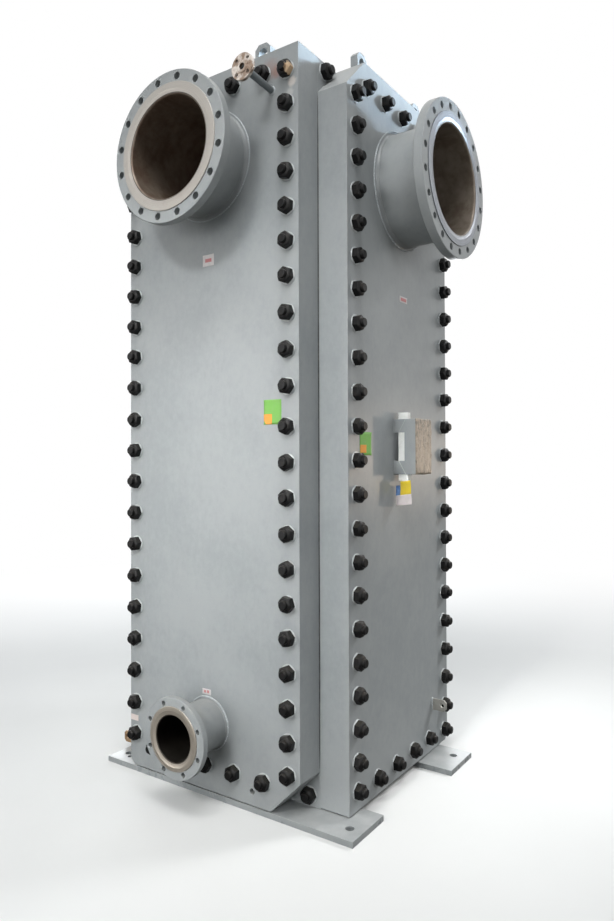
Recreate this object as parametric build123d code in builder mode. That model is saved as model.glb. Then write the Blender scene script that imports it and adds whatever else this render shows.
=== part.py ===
from build123d import *
import os

os.makedirs("parts", exist_ok=True)

# Welded plate heat exchanger: a square stack of welded plates held between two
# heads and four corner columns, closed by four thick panels that are studded on.
# Millimetres, +Z up, origin on the floor in the middle of the overall length and width.
# The front panel faces -Y, the right panel faces +X.

# Core
core_width = 1000
column_width = 120
bottom_head_height = 170
top_head_height = 130
plate_depth = 30
plate_thickness = 38
plate_pitch = 76

# Panels
panel_thickness = 145
panel_height = 3185
panel_clearance = 6
stud_corner_cut = 150
small_corner_cut = 28
jack_hole_dia = 26
jack_hole_offset = 251
jack_hole_height = 58

# Base bars
bar_thickness = 25
bar_width = 252
front_bar_overhang_left = 20
back_bar_overhang_left = 100
front_bar_overhang_right = 100
back_bar_overhang_right = 170
front_bar_setback = 0
back_bar_inset = 96
anchor_hole_dia = 38
anchor_end_distance = 61
anchor_edge_distance = 82
levelling_hole_dia = 28
levelling_end_distance = 97
levelling_edge_distance = 57

# Nozzles: bolt circle, reach from it to the flange's edge, thickness, hole count, hole
# diameter, raised face diameter, pipe outside diameter, pipe wall, and the rim's projection
flange_18 = dict(circle_dia=577.9, edge=28.55, thickness=39, count=16, hole=31.8,
                 face=533.4, pipe=457.2, wall=9.5, projection=247)
flange_20 = dict(circle_dia=635, edge=31.75, thickness=42, count=20, hole=31.8,
                 face=584.2, pipe=508, wall=9.5, projection=268)
flange_8 = dict(circle_dia=298.5, edge=22.25, thickness=28, count=8, hole=22.2,
                face=269.9, pipe=219.1, wall=8.2, projection=215)
liner_wall = 4
liner_clearance = 0.5
face_height = 4
liner_flare = 6
weld_leg = 18
rim_weld_leg = 9
rim_chamfer = 2
top_inlet_drop = 400
right_inlet_drop = 458
bottom_outlet_height = 295

# Vent
vent_outside = 108
vent_thickness = 14
vent_circle_dia = 79.4
vent_hole_count = 4
vent_hole_dia = 15.9
vent_face = 50.8
vent_face_height = 2
vent_pipe_dia = 33.4
vent_bore = 26.6
vent_projection = 190
vent_edge_distance = 140
vent_drop = 148
vent_weld_leg = 6

# Lifting lugs on the panels' top edges
lug_width = 82
lug_thickness = 35
lug_height = 90
lug_hole_dia = 50
lug_hole_height = 45
lug_corner_cut = 20
lug_offset = 275

# Nameplate bracket on the right panel
bracket_stand_off = 108
bracket_height = 252
bracket_width = 172
bracket_sheet = 4
bracket_left = -90
bracket_centre_height = 1525
bracket_notch_height = 130
bracket_notch_depth = 53
plate_margin = 6
plate_sheet = 2

# Earthing lugs
earth_lug_reach = 75
earth_lug_height = 56
earth_lug_thickness = 10
earth_lug_hole_dia = 18
earth_lug_hole_inset = 20
earth_lug_corner = 12
earth_lug_right_edge = 182
earth_lug_right_height = 230
earth_lug_left_edge = 12
earth_lug_left_height = 34

# Levels and planes that follow from the sizes
bar_top = bar_thickness
panel_bottom = bar_top + panel_clearance
panel_top = panel_bottom + panel_height
core_height = panel_top - bar_top
half_core = core_width / 2
vent_offset = half_core - vent_edge_distance
panel_face = half_core + panel_thickness

# The core's axis lies off the origin, because the nozzles reach out on three sides
reach_front = max(flange_18["projection"], flange_8["projection"]) + face_height
reach_right = max(flange_20["projection"] + face_height, back_bar_overhang_right)
reach_left = max(flange_8["projection"] + face_height, back_bar_overhang_left)
core_plane = Plane(origin=((reach_left - reach_right) / 2, reach_front / 2, 0))


def side_plane(x_dir, z_dir):
    """Plane on one face of the core: x to the right and y up, seen from outside."""
    foot = core_plane.from_local_coords(Vector(*z_dir) * half_core + Vector(0, 0, panel_bottom))
    return Plane(origin=foot, x_dir=x_dir, z_dir=z_dir)


front_plane = side_plane((1, 0, 0), (0, -1, 0))
right_plane = side_plane((0, 1, 0), (1, 0, 0))
back_plane = side_plane((-1, 0, 0), (0, 1, 0))
left_plane = side_plane((0, -1, 0), (-1, 0, 0))


def write(part, name):
    """Label a finished piece and write it as one STEP file."""
    part.label = name
    export_step(part, f"parts/{name}.step")


def bore_radius(size):
    """Inside radius of a nozzle's pipe, which the panel and the flange share."""
    return size["pipe"] / 2 - size["wall"]


# Base bars: two flat bars under the core, drilled for the anchors
def make_bar(name, overhang_left, overhang_right, y_low, anchor_from_low):
    x_low = -panel_face - overhang_left
    x_high = panel_face + overhang_right
    y_high = y_low + bar_width
    anchor_y = y_low + anchor_edge_distance if anchor_from_low else y_high - anchor_edge_distance
    with BuildPart() as bar:
        with BuildSketch(core_plane):
            with Locations(((x_low + x_high) / 2, (y_low + y_high) / 2)):
                Rectangle(x_high - x_low, bar_width)
            with Locations((x_low + anchor_end_distance, anchor_y),
                           (x_high - anchor_end_distance, anchor_y)):
                Circle(anchor_hole_dia / 2, mode=Mode.SUBTRACT)
            if anchor_from_low:
                with Locations((x_low + levelling_end_distance, y_low + levelling_edge_distance)):
                    Circle(levelling_hole_dia / 2, mode=Mode.SUBTRACT)
        extrude(amount=bar_thickness)
    write(bar.part, name)


make_bar("base_bar_front", front_bar_overhang_left, front_bar_overhang_right,
         -panel_face + front_bar_setback, True)
make_bar("base_bar_back", back_bar_overhang_left, back_bar_overhang_right,
         half_core - back_bar_inset - bar_width, False)


# Heads: thick blocks notched at the corners for the columns
def make_head(name, z_low, height):
    with BuildPart() as head:
        with BuildSketch(core_plane.offset(z_low)):
            Rectangle(core_width, core_width)
            with GridLocations(core_width - column_width, core_width - column_width, 2, 2):
                Rectangle(column_width, column_width, mode=Mode.SUBTRACT)
        extrude(amount=height)
    write(head.part, name)


make_head("bottom_head", bar_top, bottom_head_height)
make_head("top_head", panel_top - top_head_height, top_head_height)

# Corner columns: square bars over the whole height of the core
column_centre = half_core - column_width / 2
column_places = {
    "column_front_left": (-column_centre, -column_centre),
    "column_front_right": (column_centre, -column_centre),
    "column_back_left": (-column_centre, column_centre),
    "column_back_right": (column_centre, column_centre),
}
for column_name, (column_x, column_y) in column_places.items():
    with BuildPart() as column:
        with BuildSketch(core_plane.offset(bar_top)):
            with Locations((column_x, column_y)):
                Rectangle(column_width, column_width)
        extrude(amount=core_height)
    write(column.part, column_name)

# Plate pack: welded pairs of plates whose edges stand out, with channels set back between
pack_side = core_width - 2 * column_width
pack_bottom = bar_top + bottom_head_height
pack_height = core_height - bottom_head_height - top_head_height
pair_count = int(pack_height // plate_pitch)
channel_thickness = (pack_height - pair_count * plate_thickness) / (pair_count + 1)
row_pitch = plate_thickness + channel_thickness


def make_plates(name, side, thickness, count, z_low):
    """A stack of square slabs, evenly spaced upward from z_low."""
    with BuildPart() as plates:
        with Locations(core_plane.offset(z_low)):
            with Locations(*[(0, 0, row * row_pitch) for row in range(count)]):
                Box(side, side, thickness, align=(Align.CENTER, Align.CENTER, Align.MIN))
    write(plates.part, name)


make_plates("plate_channels", pack_side - 2 * plate_depth, channel_thickness, pair_count + 1,
            pack_bottom)
make_plates("plate_pairs", pack_side, plate_thickness, pair_count,
            pack_bottom + channel_thickness)


# Panels: thick slabs with a corner cut away where a column is studded to a head
def make_panel(name, plane, corner_cuts, round_holes):
    """corner_cuts: bottom left, bottom right, top right, top left, seen from outside.
    round_holes: the x, y and radius of each hole, from the middle of the panel's foot."""
    bottom_left, bottom_right, top_right, top_left = corner_cuts
    half = half_core
    outline = [(-half + bottom_left, 0), (half - bottom_right, 0), (half, bottom_right),
               (half, panel_height - top_right), (half - top_right, panel_height),
               (-half + top_left, panel_height), (-half, panel_height - top_left),
               (-half, bottom_left)]
    corners = [point for index, point in enumerate(outline) if point != outline[index - 1]]
    with BuildPart() as panel:
        with BuildSketch(plane):
            with BuildLine():
                Polyline(*corners, close=True)
            make_face()
            for hole_x, hole_y, hole_radius in round_holes:
                with Locations((hole_x, hole_y)):
                    Circle(hole_radius, mode=Mode.SUBTRACT)
        extrude(amount=panel_thickness)
    write(panel.part, name)


front_top_height = panel_height - top_inlet_drop
right_top_height = panel_height - right_inlet_drop
vent_height = panel_height - vent_drop
foot_studded = (small_corner_cut, stud_corner_cut, 0, 0)
head_studded = (0, small_corner_cut, 0, stud_corner_cut)
make_panel("panel_front", front_plane, foot_studded,
           [(0, front_top_height, bore_radius(flange_18)),
            (0, bottom_outlet_height, bore_radius(flange_8)),
            (vent_offset, vent_height, vent_bore / 2),
            (-jack_hole_offset, jack_hole_height, jack_hole_dia / 2),
            (jack_hole_offset, jack_hole_height, jack_hole_dia / 2)])
make_panel("panel_right", right_plane, head_studded,
           [(0, right_top_height, bore_radius(flange_20))])
make_panel("panel_back", back_plane, foot_studded, [])
make_panel("panel_left", left_plane, head_studded,
           [(0, bottom_outlet_height, bore_radius(flange_8))])


# Nozzles: a pipe welded to the panel, a drilled flange, and a stainless liner whose
# lip is the raised face
def make_nozzle(name, plane, size, height):
    outer = size["pipe"] / 2
    inner = bore_radius(size)
    rim_front = panel_thickness + size["projection"]
    rim_back = rim_front - size["thickness"]
    axis_plane = Plane(origin=plane.from_local_coords((0, height, 0)),
                       x_dir=plane.x_dir, z_dir=-plane.y_dir)
    axis = Axis(axis_plane.origin, plane.z_dir)
    with BuildPart() as pipe:
        with BuildSketch(axis_plane):
            with BuildLine():
                Polyline((inner, panel_thickness), (outer, panel_thickness),
                         (outer, rim_back), (inner, rim_back), close=True)
            make_face()
        revolve(axis=axis)
    write(pipe.part, f"nozzle_pipe_{name}")

    with BuildPart() as welds:
        with BuildSketch(axis_plane):
            for root, toe, leg in ((panel_thickness, panel_thickness + weld_leg, weld_leg),
                                   (rim_back, rim_back - rim_weld_leg, rim_weld_leg)):
                with BuildLine():
                    Polyline((outer, root), (outer + leg, root), (outer, toe), close=True)
                make_face()
        revolve(axis=axis)
    write(welds.part, f"nozzle_welds_{name}")

    with BuildPart() as flange:
        with BuildSketch(plane.offset(rim_back)):
            with Locations((0, height)):
                Circle(size["circle_dia"] / 2 + size["edge"])
                Circle(inner, mode=Mode.SUBTRACT)
                with PolarLocations(size["circle_dia"] / 2, size["count"],
                                    start_angle=180 / size["count"]):
                    Circle(size["hole"] / 2, mode=Mode.SUBTRACT)
        extrude(amount=size["thickness"])
        rims = flange.edges().filter_by(GeomType.CIRCLE).sort_by(SortBy.RADIUS)[-2:]
        chamfer(rims, rim_chamfer)
    write(flange.part, f"flange_{name}")

    skin = inner - liner_clearance
    bore = skin - liner_wall
    with BuildPart() as liner:
        with BuildSketch(axis_plane):
            with BuildLine():
                Polyline((bore, 0), (skin, 0), (skin, rim_front), (size["face"] / 2, rim_front),
                         (size["face"] / 2, rim_front + face_height),
                         (bore + liner_flare, rim_front + face_height),
                         (bore, rim_front + face_height - liner_flare), close=True)
            make_face()
        revolve(axis=axis)
    write(liner.part, f"liner_{name}")


make_nozzle("front_top", front_plane, flange_18, front_top_height)
make_nozzle("front_bottom", front_plane, flange_8, bottom_outlet_height)
make_nozzle("right_top", right_plane, flange_20, right_top_height)
make_nozzle("left_bottom", left_plane, flange_8, bottom_outlet_height)

# Vent: a thin pipe with a small bare flange, high on the front panel
vent_rim_back = panel_thickness + vent_projection - vent_thickness
vent_plane = Plane(origin=front_plane.from_local_coords((vent_offset, vent_height, 0)),
                   x_dir=front_plane.x_dir, z_dir=-front_plane.y_dir)
with BuildPart() as vent_pipe:
    with BuildSketch(vent_plane):
        with BuildLine():
            Polyline((vent_bore / 2, panel_thickness),
                     (vent_pipe_dia / 2 + vent_weld_leg, panel_thickness),
                     (vent_pipe_dia / 2, panel_thickness + vent_weld_leg),
                     (vent_pipe_dia / 2, vent_rim_back), (vent_bore / 2, vent_rim_back), close=True)
        make_face()
    revolve(axis=Axis(vent_plane.origin, front_plane.z_dir))
write(vent_pipe.part, "vent_pipe")

with BuildPart() as vent_flange:
    with BuildSketch(front_plane.offset(vent_rim_back)):
        with Locations((vent_offset, vent_height)):
            Circle(vent_outside / 2)
            Circle(vent_bore / 2, mode=Mode.SUBTRACT)
            with PolarLocations(vent_circle_dia / 2, vent_hole_count,
                                start_angle=180 / vent_hole_count):
                Circle(vent_hole_dia / 2, mode=Mode.SUBTRACT)
    extrude(amount=vent_thickness)
    with BuildSketch(front_plane.offset(vent_rim_back + vent_thickness)):
        with Locations((vent_offset, vent_height)):
            Circle(vent_face / 2)
            Circle(vent_bore / 2, mode=Mode.SUBTRACT)
    extrude(amount=vent_face_height)
write(vent_flange.part, "vent_flange")


# Lifting lugs: two eye plates on the top edge of each panel
def make_lugs(name, plane):
    lug_plane = plane.offset((panel_thickness - lug_thickness) / 2)
    with BuildPart() as lugs:
        for side in (-1, 1):
            foot = lug_plane.from_local_coords((side * lug_offset, panel_height, 0))
            with BuildSketch(Plane(origin=foot, x_dir=plane.x_dir, z_dir=plane.z_dir)) as eye:
                Rectangle(lug_width, lug_height, align=(Align.CENTER, Align.MIN))
                chamfer(eye.vertices().group_by(Axis.Y)[-1], lug_corner_cut)
                with Locations((0, lug_hole_height)):
                    Circle(lug_hole_dia / 2, mode=Mode.SUBTRACT)
            extrude(amount=lug_thickness)
    write(lugs.part, name)


make_lugs("lifting_lugs_front", front_plane)
make_lugs("lifting_lugs_right", right_plane)
make_lugs("lifting_lugs_back", back_plane)
make_lugs("lifting_lugs_left", left_plane)

# Nameplate bracket: a sheet folded into a channel that stands off the right panel
bracket_front = panel_thickness + bracket_stand_off
bracket_centre = bracket_left + bracket_width / 2
with BuildPart() as nameplate_bracket:
    for cheek_x in (bracket_left, bracket_left + bracket_width - bracket_sheet):
        cheek_origin = right_plane.from_local_coords((cheek_x, bracket_centre_height, 0))
        with BuildSketch(Plane(origin=cheek_origin, x_dir=right_plane.z_dir,
                               z_dir=right_plane.x_dir)):
            with Locations((panel_thickness, 0)):
                Rectangle(bracket_stand_off, bracket_height, align=(Align.MIN, Align.CENTER))
                Rectangle(bracket_notch_depth, bracket_notch_height,
                          align=(Align.MIN, Align.CENTER), mode=Mode.SUBTRACT)
        extrude(amount=bracket_sheet)
    with BuildSketch(right_plane.offset(bracket_front - bracket_sheet)):
        with Locations((bracket_centre, bracket_centre_height)):
            Rectangle(bracket_width, bracket_height)
    extrude(amount=bracket_sheet)
write(nameplate_bracket.part, "nameplate_bracket")

with BuildPart() as nameplate:
    with BuildSketch(right_plane.offset(bracket_front)):
        with Locations((bracket_centre, bracket_centre_height)):
            Rectangle(bracket_width - 2 * plate_margin, bracket_height - 2 * plate_margin)
    extrude(amount=plate_sheet)
write(nameplate.part, "nameplate")


# Earthing lugs: drilled tabs that stand out from the panels
def make_earth_lug(name, plane, offset, height):
    tab_origin = plane.from_local_coords((offset, height, panel_thickness))
    with BuildPart() as tab:
        with BuildSketch(Plane(origin=tab_origin, x_dir=plane.z_dir, z_dir=plane.x_dir)) as blade:
            Rectangle(earth_lug_reach, earth_lug_height, align=(Align.MIN, Align.CENTER))
            chamfer(blade.vertices().group_by(Axis.X)[-1], earth_lug_corner)
            with Locations((earth_lug_reach - earth_lug_hole_inset, 0)):
                Circle(earth_lug_hole_dia / 2, mode=Mode.SUBTRACT)
        extrude(amount=earth_lug_thickness / 2, both=True)
    write(tab.part, name)


make_earth_lug("earthing_lug_right", right_plane, half_core - earth_lug_right_edge,
               earth_lug_right_height)
make_earth_lug("earthing_lug_left", left_plane, half_core - earth_lug_left_edge,
               earth_lug_left_height)
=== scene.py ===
"""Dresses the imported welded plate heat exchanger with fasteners, welds, labels and finishes.

Metres, in the CAD's own frame: +Z up, the front panel faces -Y and the right panel faces +X.
"""
import logging
import math
from dataclasses import dataclass
from enum import Enum
from typing import Optional, Sequence, Union

import bmesh
import bpy
import numpy as np
from mathutils import Matrix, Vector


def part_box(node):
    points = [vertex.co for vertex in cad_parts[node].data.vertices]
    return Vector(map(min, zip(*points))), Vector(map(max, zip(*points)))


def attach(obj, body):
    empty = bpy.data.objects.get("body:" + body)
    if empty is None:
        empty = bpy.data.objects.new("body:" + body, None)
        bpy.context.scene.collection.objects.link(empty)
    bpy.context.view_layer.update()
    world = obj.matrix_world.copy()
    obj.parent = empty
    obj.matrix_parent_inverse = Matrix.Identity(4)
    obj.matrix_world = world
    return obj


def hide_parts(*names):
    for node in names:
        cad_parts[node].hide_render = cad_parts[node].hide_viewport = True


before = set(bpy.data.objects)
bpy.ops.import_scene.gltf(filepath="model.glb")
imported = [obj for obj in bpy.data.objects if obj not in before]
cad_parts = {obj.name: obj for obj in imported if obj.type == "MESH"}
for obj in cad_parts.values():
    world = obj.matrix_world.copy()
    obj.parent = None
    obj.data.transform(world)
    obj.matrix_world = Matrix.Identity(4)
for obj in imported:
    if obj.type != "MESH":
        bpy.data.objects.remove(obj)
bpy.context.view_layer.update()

log = logging.getLogger("heat_exchanger")
MM = 0.001
TAU = 2 * math.pi
UP = np.array((0.0, 0.0, 1.0))
Socket = Union[float, Sequence[float], bpy.types.NodeSocket]


class Slot(Enum):
    """Material slots of the record."""

    PAINTED = "painted"
    STAINLESS = "stainless"
    PLATES = "plates"
    NAMEPLATE = "nameplate"
    BLACK_CAPS = "black_caps"
    LABELS = "labels"


class Side(Enum):
    """The four upright sides: direction to the right seen from outside, and outward direction."""

    FRONT = ((1, 0, 0), (0, -1, 0))
    RIGHT = ((0, 1, 0), (1, 0, 0))
    BACK = ((-1, 0, 0), (0, 1, 0))
    LEFT = ((0, -1, 0), (-1, 0, 0))


@dataclass(frozen=True)
class Face:
    """A flat upright face.

    Args:
        corner: Its lower left corner, seen from outside.
        across: Unit direction to the right.
        out: Unit direction outward.
        width: Size across.
        height: Size upward.
    """

    corner: np.ndarray
    across: np.ndarray
    out: np.ndarray
    width: float
    height: float

    @classmethod
    def of_node(cls, node: str, side: Side) -> "Face":
        """The outer face of a CAD node's box on one side."""
        low, high = (np.array(corner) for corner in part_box(node))
        across, out = (np.array(direction, float) for direction in side.value)
        corner = np.where(out - across - UP > 0, high, low)
        return cls(corner, across, out, float(abs(across @ (high - low))), float(high[2] - low[2]))

    def place(self, points: np.ndarray) -> np.ndarray:
        """Points given as (across, up, out) in millimetres from the corner, in the row frame."""
        points = np.asarray(points, float) * MM
        return self.corner + points @ np.stack((self.across, UP, self.out))

    def sunk(self, depth: float) -> "Face":
        """The same face moved inward by depth millimetres."""
        return Face(self.corner - self.out * depth * MM, self.across, self.out, self.width, self.height)

    def local(self, point: Sequence[float]) -> np.ndarray:
        """A row-frame point as (across, up, out) in millimetres from the corner."""
        return np.stack((self.across, UP, self.out)) @ (np.array(point) - self.corner) / MM


@dataclass(frozen=True)
class Shape:
    """A form: its points, and its faces as one array of corner numbers for each number of corners."""

    points: np.ndarray
    faces: tuple[np.ndarray, ...]

    def moved(self, points: np.ndarray) -> "Shape":
        """The same faces over other places: points is (copies, points, 3) or (points, 3)."""
        copies = points.reshape(-1, len(self.points), 3)
        starts = np.arange(len(copies))[:, None, None] * len(self.points)
        faces = tuple((face[None] + starts).reshape(-1, face.shape[1]) for face in self.faces)
        return Shape(copies.reshape(-1, 3), faces)


def joined(shapes: Sequence[Shape]) -> Shape:
    """Several shapes as one, their faces numbered on."""
    starts = np.cumsum([0] + [len(shape.points) for shape in shapes[:-1]])
    faces = tuple(face + start for shape, start in zip(shapes, starts) for face in shape.faces)
    return Shape(np.concatenate([shape.points for shape in shapes]), faces)


def lattice_quads(rows: int, columns: int, close_rows: bool = False, close_columns: bool = False) -> np.ndarray:
    """Quads between neighbouring points of a lattice stored row after row.

    Args:
        rows: Number of rows of points.
        columns: Points in a row.
        close_rows: Whether the last row joins the first.
        close_columns: Whether the last column joins the first.

    Returns:
        The corner numbers, four to a face. They turn from a row's direction to the next row.
    """
    row = np.arange(rows if close_rows else rows - 1)[:, None]
    column = np.arange(columns if close_columns else columns - 1)[None, :]
    next_row, next_column = (row + 1) % rows, (column + 1) % columns
    corners = (row * columns + column, row * columns + next_column,
               next_row * columns + next_column, next_row * columns + column)
    return np.stack(corners, axis=-1).reshape(-1, 4)


def turned(radius: np.ndarray, height: np.ndarray) -> Shape:
    """A capped solid: each point lies at radius * (cos a, sin a) and at its height.

    Args:
        radius: Radius at each level and angle, (levels, angles).
        height: Height at each level and angle, or (levels, 1).
    """
    levels, samples = radius.shape
    angle = np.arange(samples) * TAU / samples
    points = np.stack((radius * np.cos(angle), radius * np.sin(angle),
                       np.broadcast_to(height, radius.shape)), axis=-1)
    ring = np.arange(samples)[None]
    caps = np.concatenate((ring, ring + (levels - 1) * samples))
    return Shape(points.reshape(-1, 3), (lattice_quads(levels, samples, close_columns=True), caps))


@dataclass(frozen=True)
class Bead:
    """Sizes of a fillet weld in millimetres.

    Args:
        leg: Reach of each toe from the root.
        crown: How far the middle stands out of the straight fillet; a hollow one is negative.
        ripple: Height of the ripples.
        pitch: Length of one ripple.
        step: Spacing of the points along the run.
        section: Points across the face.
        toe: Height of the lumps along the toe on the plate.
    """

    leg: float = 18.0
    crown: float = 2.0
    ripple: float = 1.1
    pitch: float = 10.0
    step: float = 2.5
    section: int = 7
    toe: float = 0.0

    def along(self, path: np.ndarray, side: np.ndarray, rise: np.ndarray, closed: bool) -> Shape:
        """A fillet weld: its section carried along a path.

        At share t of the section the point is leg * (1 - t) along side plus leg * t along rise,
        plus the crown times sin(pi t) halfway between them. The crown swells with a cosine of the
        length along the path, drawn back in the middle so that each ripple is a crescent, and its
        strength and the leg wander with slower sines. The section's second point also stands out
        where a sum of three sines is above nought, which makes the lumps of the toe. An open run
        shrinks to nothing at its ends.

        Args:
            path: Points of the root line in metres, (points, 3).
            side: Unit direction along the plate at each point.
            rise: Unit direction along the upright at each point.
            closed: Whether the run meets itself.

        Returns:
            The closed bead.
        """
        steps = np.linalg.norm(np.diff(path, axis=0, append=path[:1]), axis=1)
        total = steps.sum() if closed else steps[:-1].sum()
        length = (np.cumsum(steps) - steps)[:, None] / MM
        total = total / MM
        share = np.linspace(0, 1, self.section)[None, :]
        arch = np.sin(math.pi * share)
        turns = max(1, round(total / self.pitch))
        phase = TAU * turns * length / total
        wander = 1 + 0.05 * np.sin(phase / turns * 7 + 0.4) + 0.04 * np.sin(phase / turns * 17 + 2)
        taper = np.ones_like(length) if closed else np.sqrt(np.clip(1 - (2 * length / total - 1) ** 8, 0, 1))
        leg = self.leg * wander * taper
        strength = 0.65 + 0.3 * np.sin(phase / turns * 23 + 1) + 0.35 * np.sin(phase / turns * 61)
        uneven = phase + 0.9 * np.sin(phase / turns * 37)
        crown = (self.crown + self.ripple * strength * np.cos(uneven - 1.6 * arch)) * arch * taper
        lumps = sum(np.sin(phase / turns * rate + rate) for rate in (31, 83, 149)).clip(0) / 2
        crown[:, 1:2] += self.toe * lumps * taper
        reach = leg * (1 - share) + crown / math.sqrt(2)
        lift = leg * share + crown / math.sqrt(2)
        sink = -1.0 * taper
        reach, lift = np.hstack((reach, sink)) * MM, np.hstack((lift, sink)) * MM
        points = path[:, None] + reach[..., None] * side[:, None] + lift[..., None] * rise[:, None]
        return Shape(points.reshape(-1, 3), (lattice_quads(len(path), self.section + 1, closed, True),))


def make_piece(name: str, shape: Shape, finish: bpy.types.Material,
               replaces: Sequence[str] = (), closed: bool = True, sharp: float = 35.0) -> bpy.types.Object:
    """Makes a shape an object that rides on the root body.

    Args:
        name: The piece's name.
        shape: Its form in the row frame.
        finish: Its material.
        replaces: CAD nodes that the piece stands for.
        closed: Whether it encloses a volume, so that its normals can be worked out.
        sharp: Smallest angle in degrees that stays a crease.

    Returns:
        The new object.
    """
    mesh = bpy.data.meshes.new(name)
    mesh.from_pydata(shape.points.tolist(), [], [face for faces in shape.faces for face in faces.tolist()])
    if closed:
        work = bmesh.new()
        work.from_mesh(mesh)
        bmesh.ops.remove_doubles(work, verts=work.verts, dist=1e-6)
        bmesh.ops.recalc_face_normals(work, faces=work.faces)
        work.to_mesh(mesh)
        work.free()
    mesh.shade_smooth()
    mesh.set_sharp_from_angle(angle=math.radians(sharp))
    mesh.materials.append(finish)
    piece = bpy.data.objects.new(name, mesh)
    bpy.context.scene.collection.objects.link(piece)
    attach(piece, "root")
    if replaces:
        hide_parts(*replaces)
    log.info("%s: %d faces", name, len(mesh.polygons))
    return piece


def srgb(red: float, green: float, blue: float) -> tuple[float, float, float, float]:
    """A screen colour from 0 to 255 as the linear colour that a shader takes."""
    linear = [value / 255 / 12.92 if value <= 10 else ((value / 255 + 0.055) / 1.055) ** 2.4
              for value in (red, green, blue)]
    return (*linear, 1.0)


class Graph:
    """Short calls that place and join nodes in one node tree."""

    def __init__(self, tree: bpy.types.NodeTree) -> None:
        """Keeps the tree and takes its first nodes out."""
        self.tree = tree
        tree.nodes.clear()

    def add(self, kind: str, inputs: Optional[dict] = None, **settings: object) -> bpy.types.Node:
        """Places a node, sets its properties, and fills or links its inputs by name or number."""
        node = self.tree.nodes.new("ShaderNode" + kind if not kind.startswith("Node") else kind)
        for key, value in settings.items():
            setattr(node, key, value)
        for key, value in (inputs or {}).items():
            if isinstance(value, bpy.types.NodeSocket):
                self.tree.links.new(value, node.inputs[key])
            else:
                node.inputs[key].default_value = value
        return node

    def math(self, operation: str, *values: Socket, clamp: bool = False) -> bpy.types.NodeSocket:
        """One Math node over up to three values."""
        return self.add("Math", dict(enumerate(values)), operation=operation, use_clamp=clamp).outputs[0]

    def mix(self, share: Socket, first: Socket, second: Socket) -> bpy.types.NodeSocket:
        """A colour between two, by share."""
        return self.add("Mix", {0: share, 6: first, 7: second}, data_type="RGBA").outputs[2]

    def span(self, value: Socket, low: Socket, high: Socket, start: float = 0.0, end: float = 1.0) -> bpy.types.NodeSocket:
        """The value's way from low to high, carried smoothly from start to end."""
        return self.add("MapRange", {"Value": value, "From Min": low, "From Max": high, "To Min": start,
                                     "To Max": end}, interpolation_type="SMOOTHSTEP").outputs[0]

    def noise(self, vector: Socket, scale: Socket, detail: float = 3.0, roughness: float = 0.55) -> bpy.types.NodeSocket:
        """Fractal noise from 0 to 1."""
        return self.add("TexNoise", {"Vector": vector, "Scale": scale, "Detail": detail,
                                     "Roughness": roughness}).outputs["Fac"]

    def place(self, location: Sequence[float] = (0, 0, 0), stretch: Sequence[float] = (1, 1, 1),
              rotation: Sequence[float] = (0, 0, 0), vector: Optional[Socket] = None) -> bpy.types.NodeSocket:
        """Object coordinates, or vector, moved so that location is the centre, turned and stretched."""
        source = vector or self.add("TexCoord").outputs["Object"]
        centred = self.add("Mapping", {"Vector": source, "Location": location, "Rotation": rotation}, vector_type="TEXTURE")
        return self.add("Mapping", {"Vector": centred.outputs[0], "Scale": stretch}).outputs[0]

    def effect(self, group: bpy.types.NodeTree, **inputs: Socket) -> bpy.types.Node:
        """Places a shared effect and fills its inputs."""
        return self.add("Group", {key.replace("_", " "): value for key, value in inputs.items()}, node_tree=group)


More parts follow.
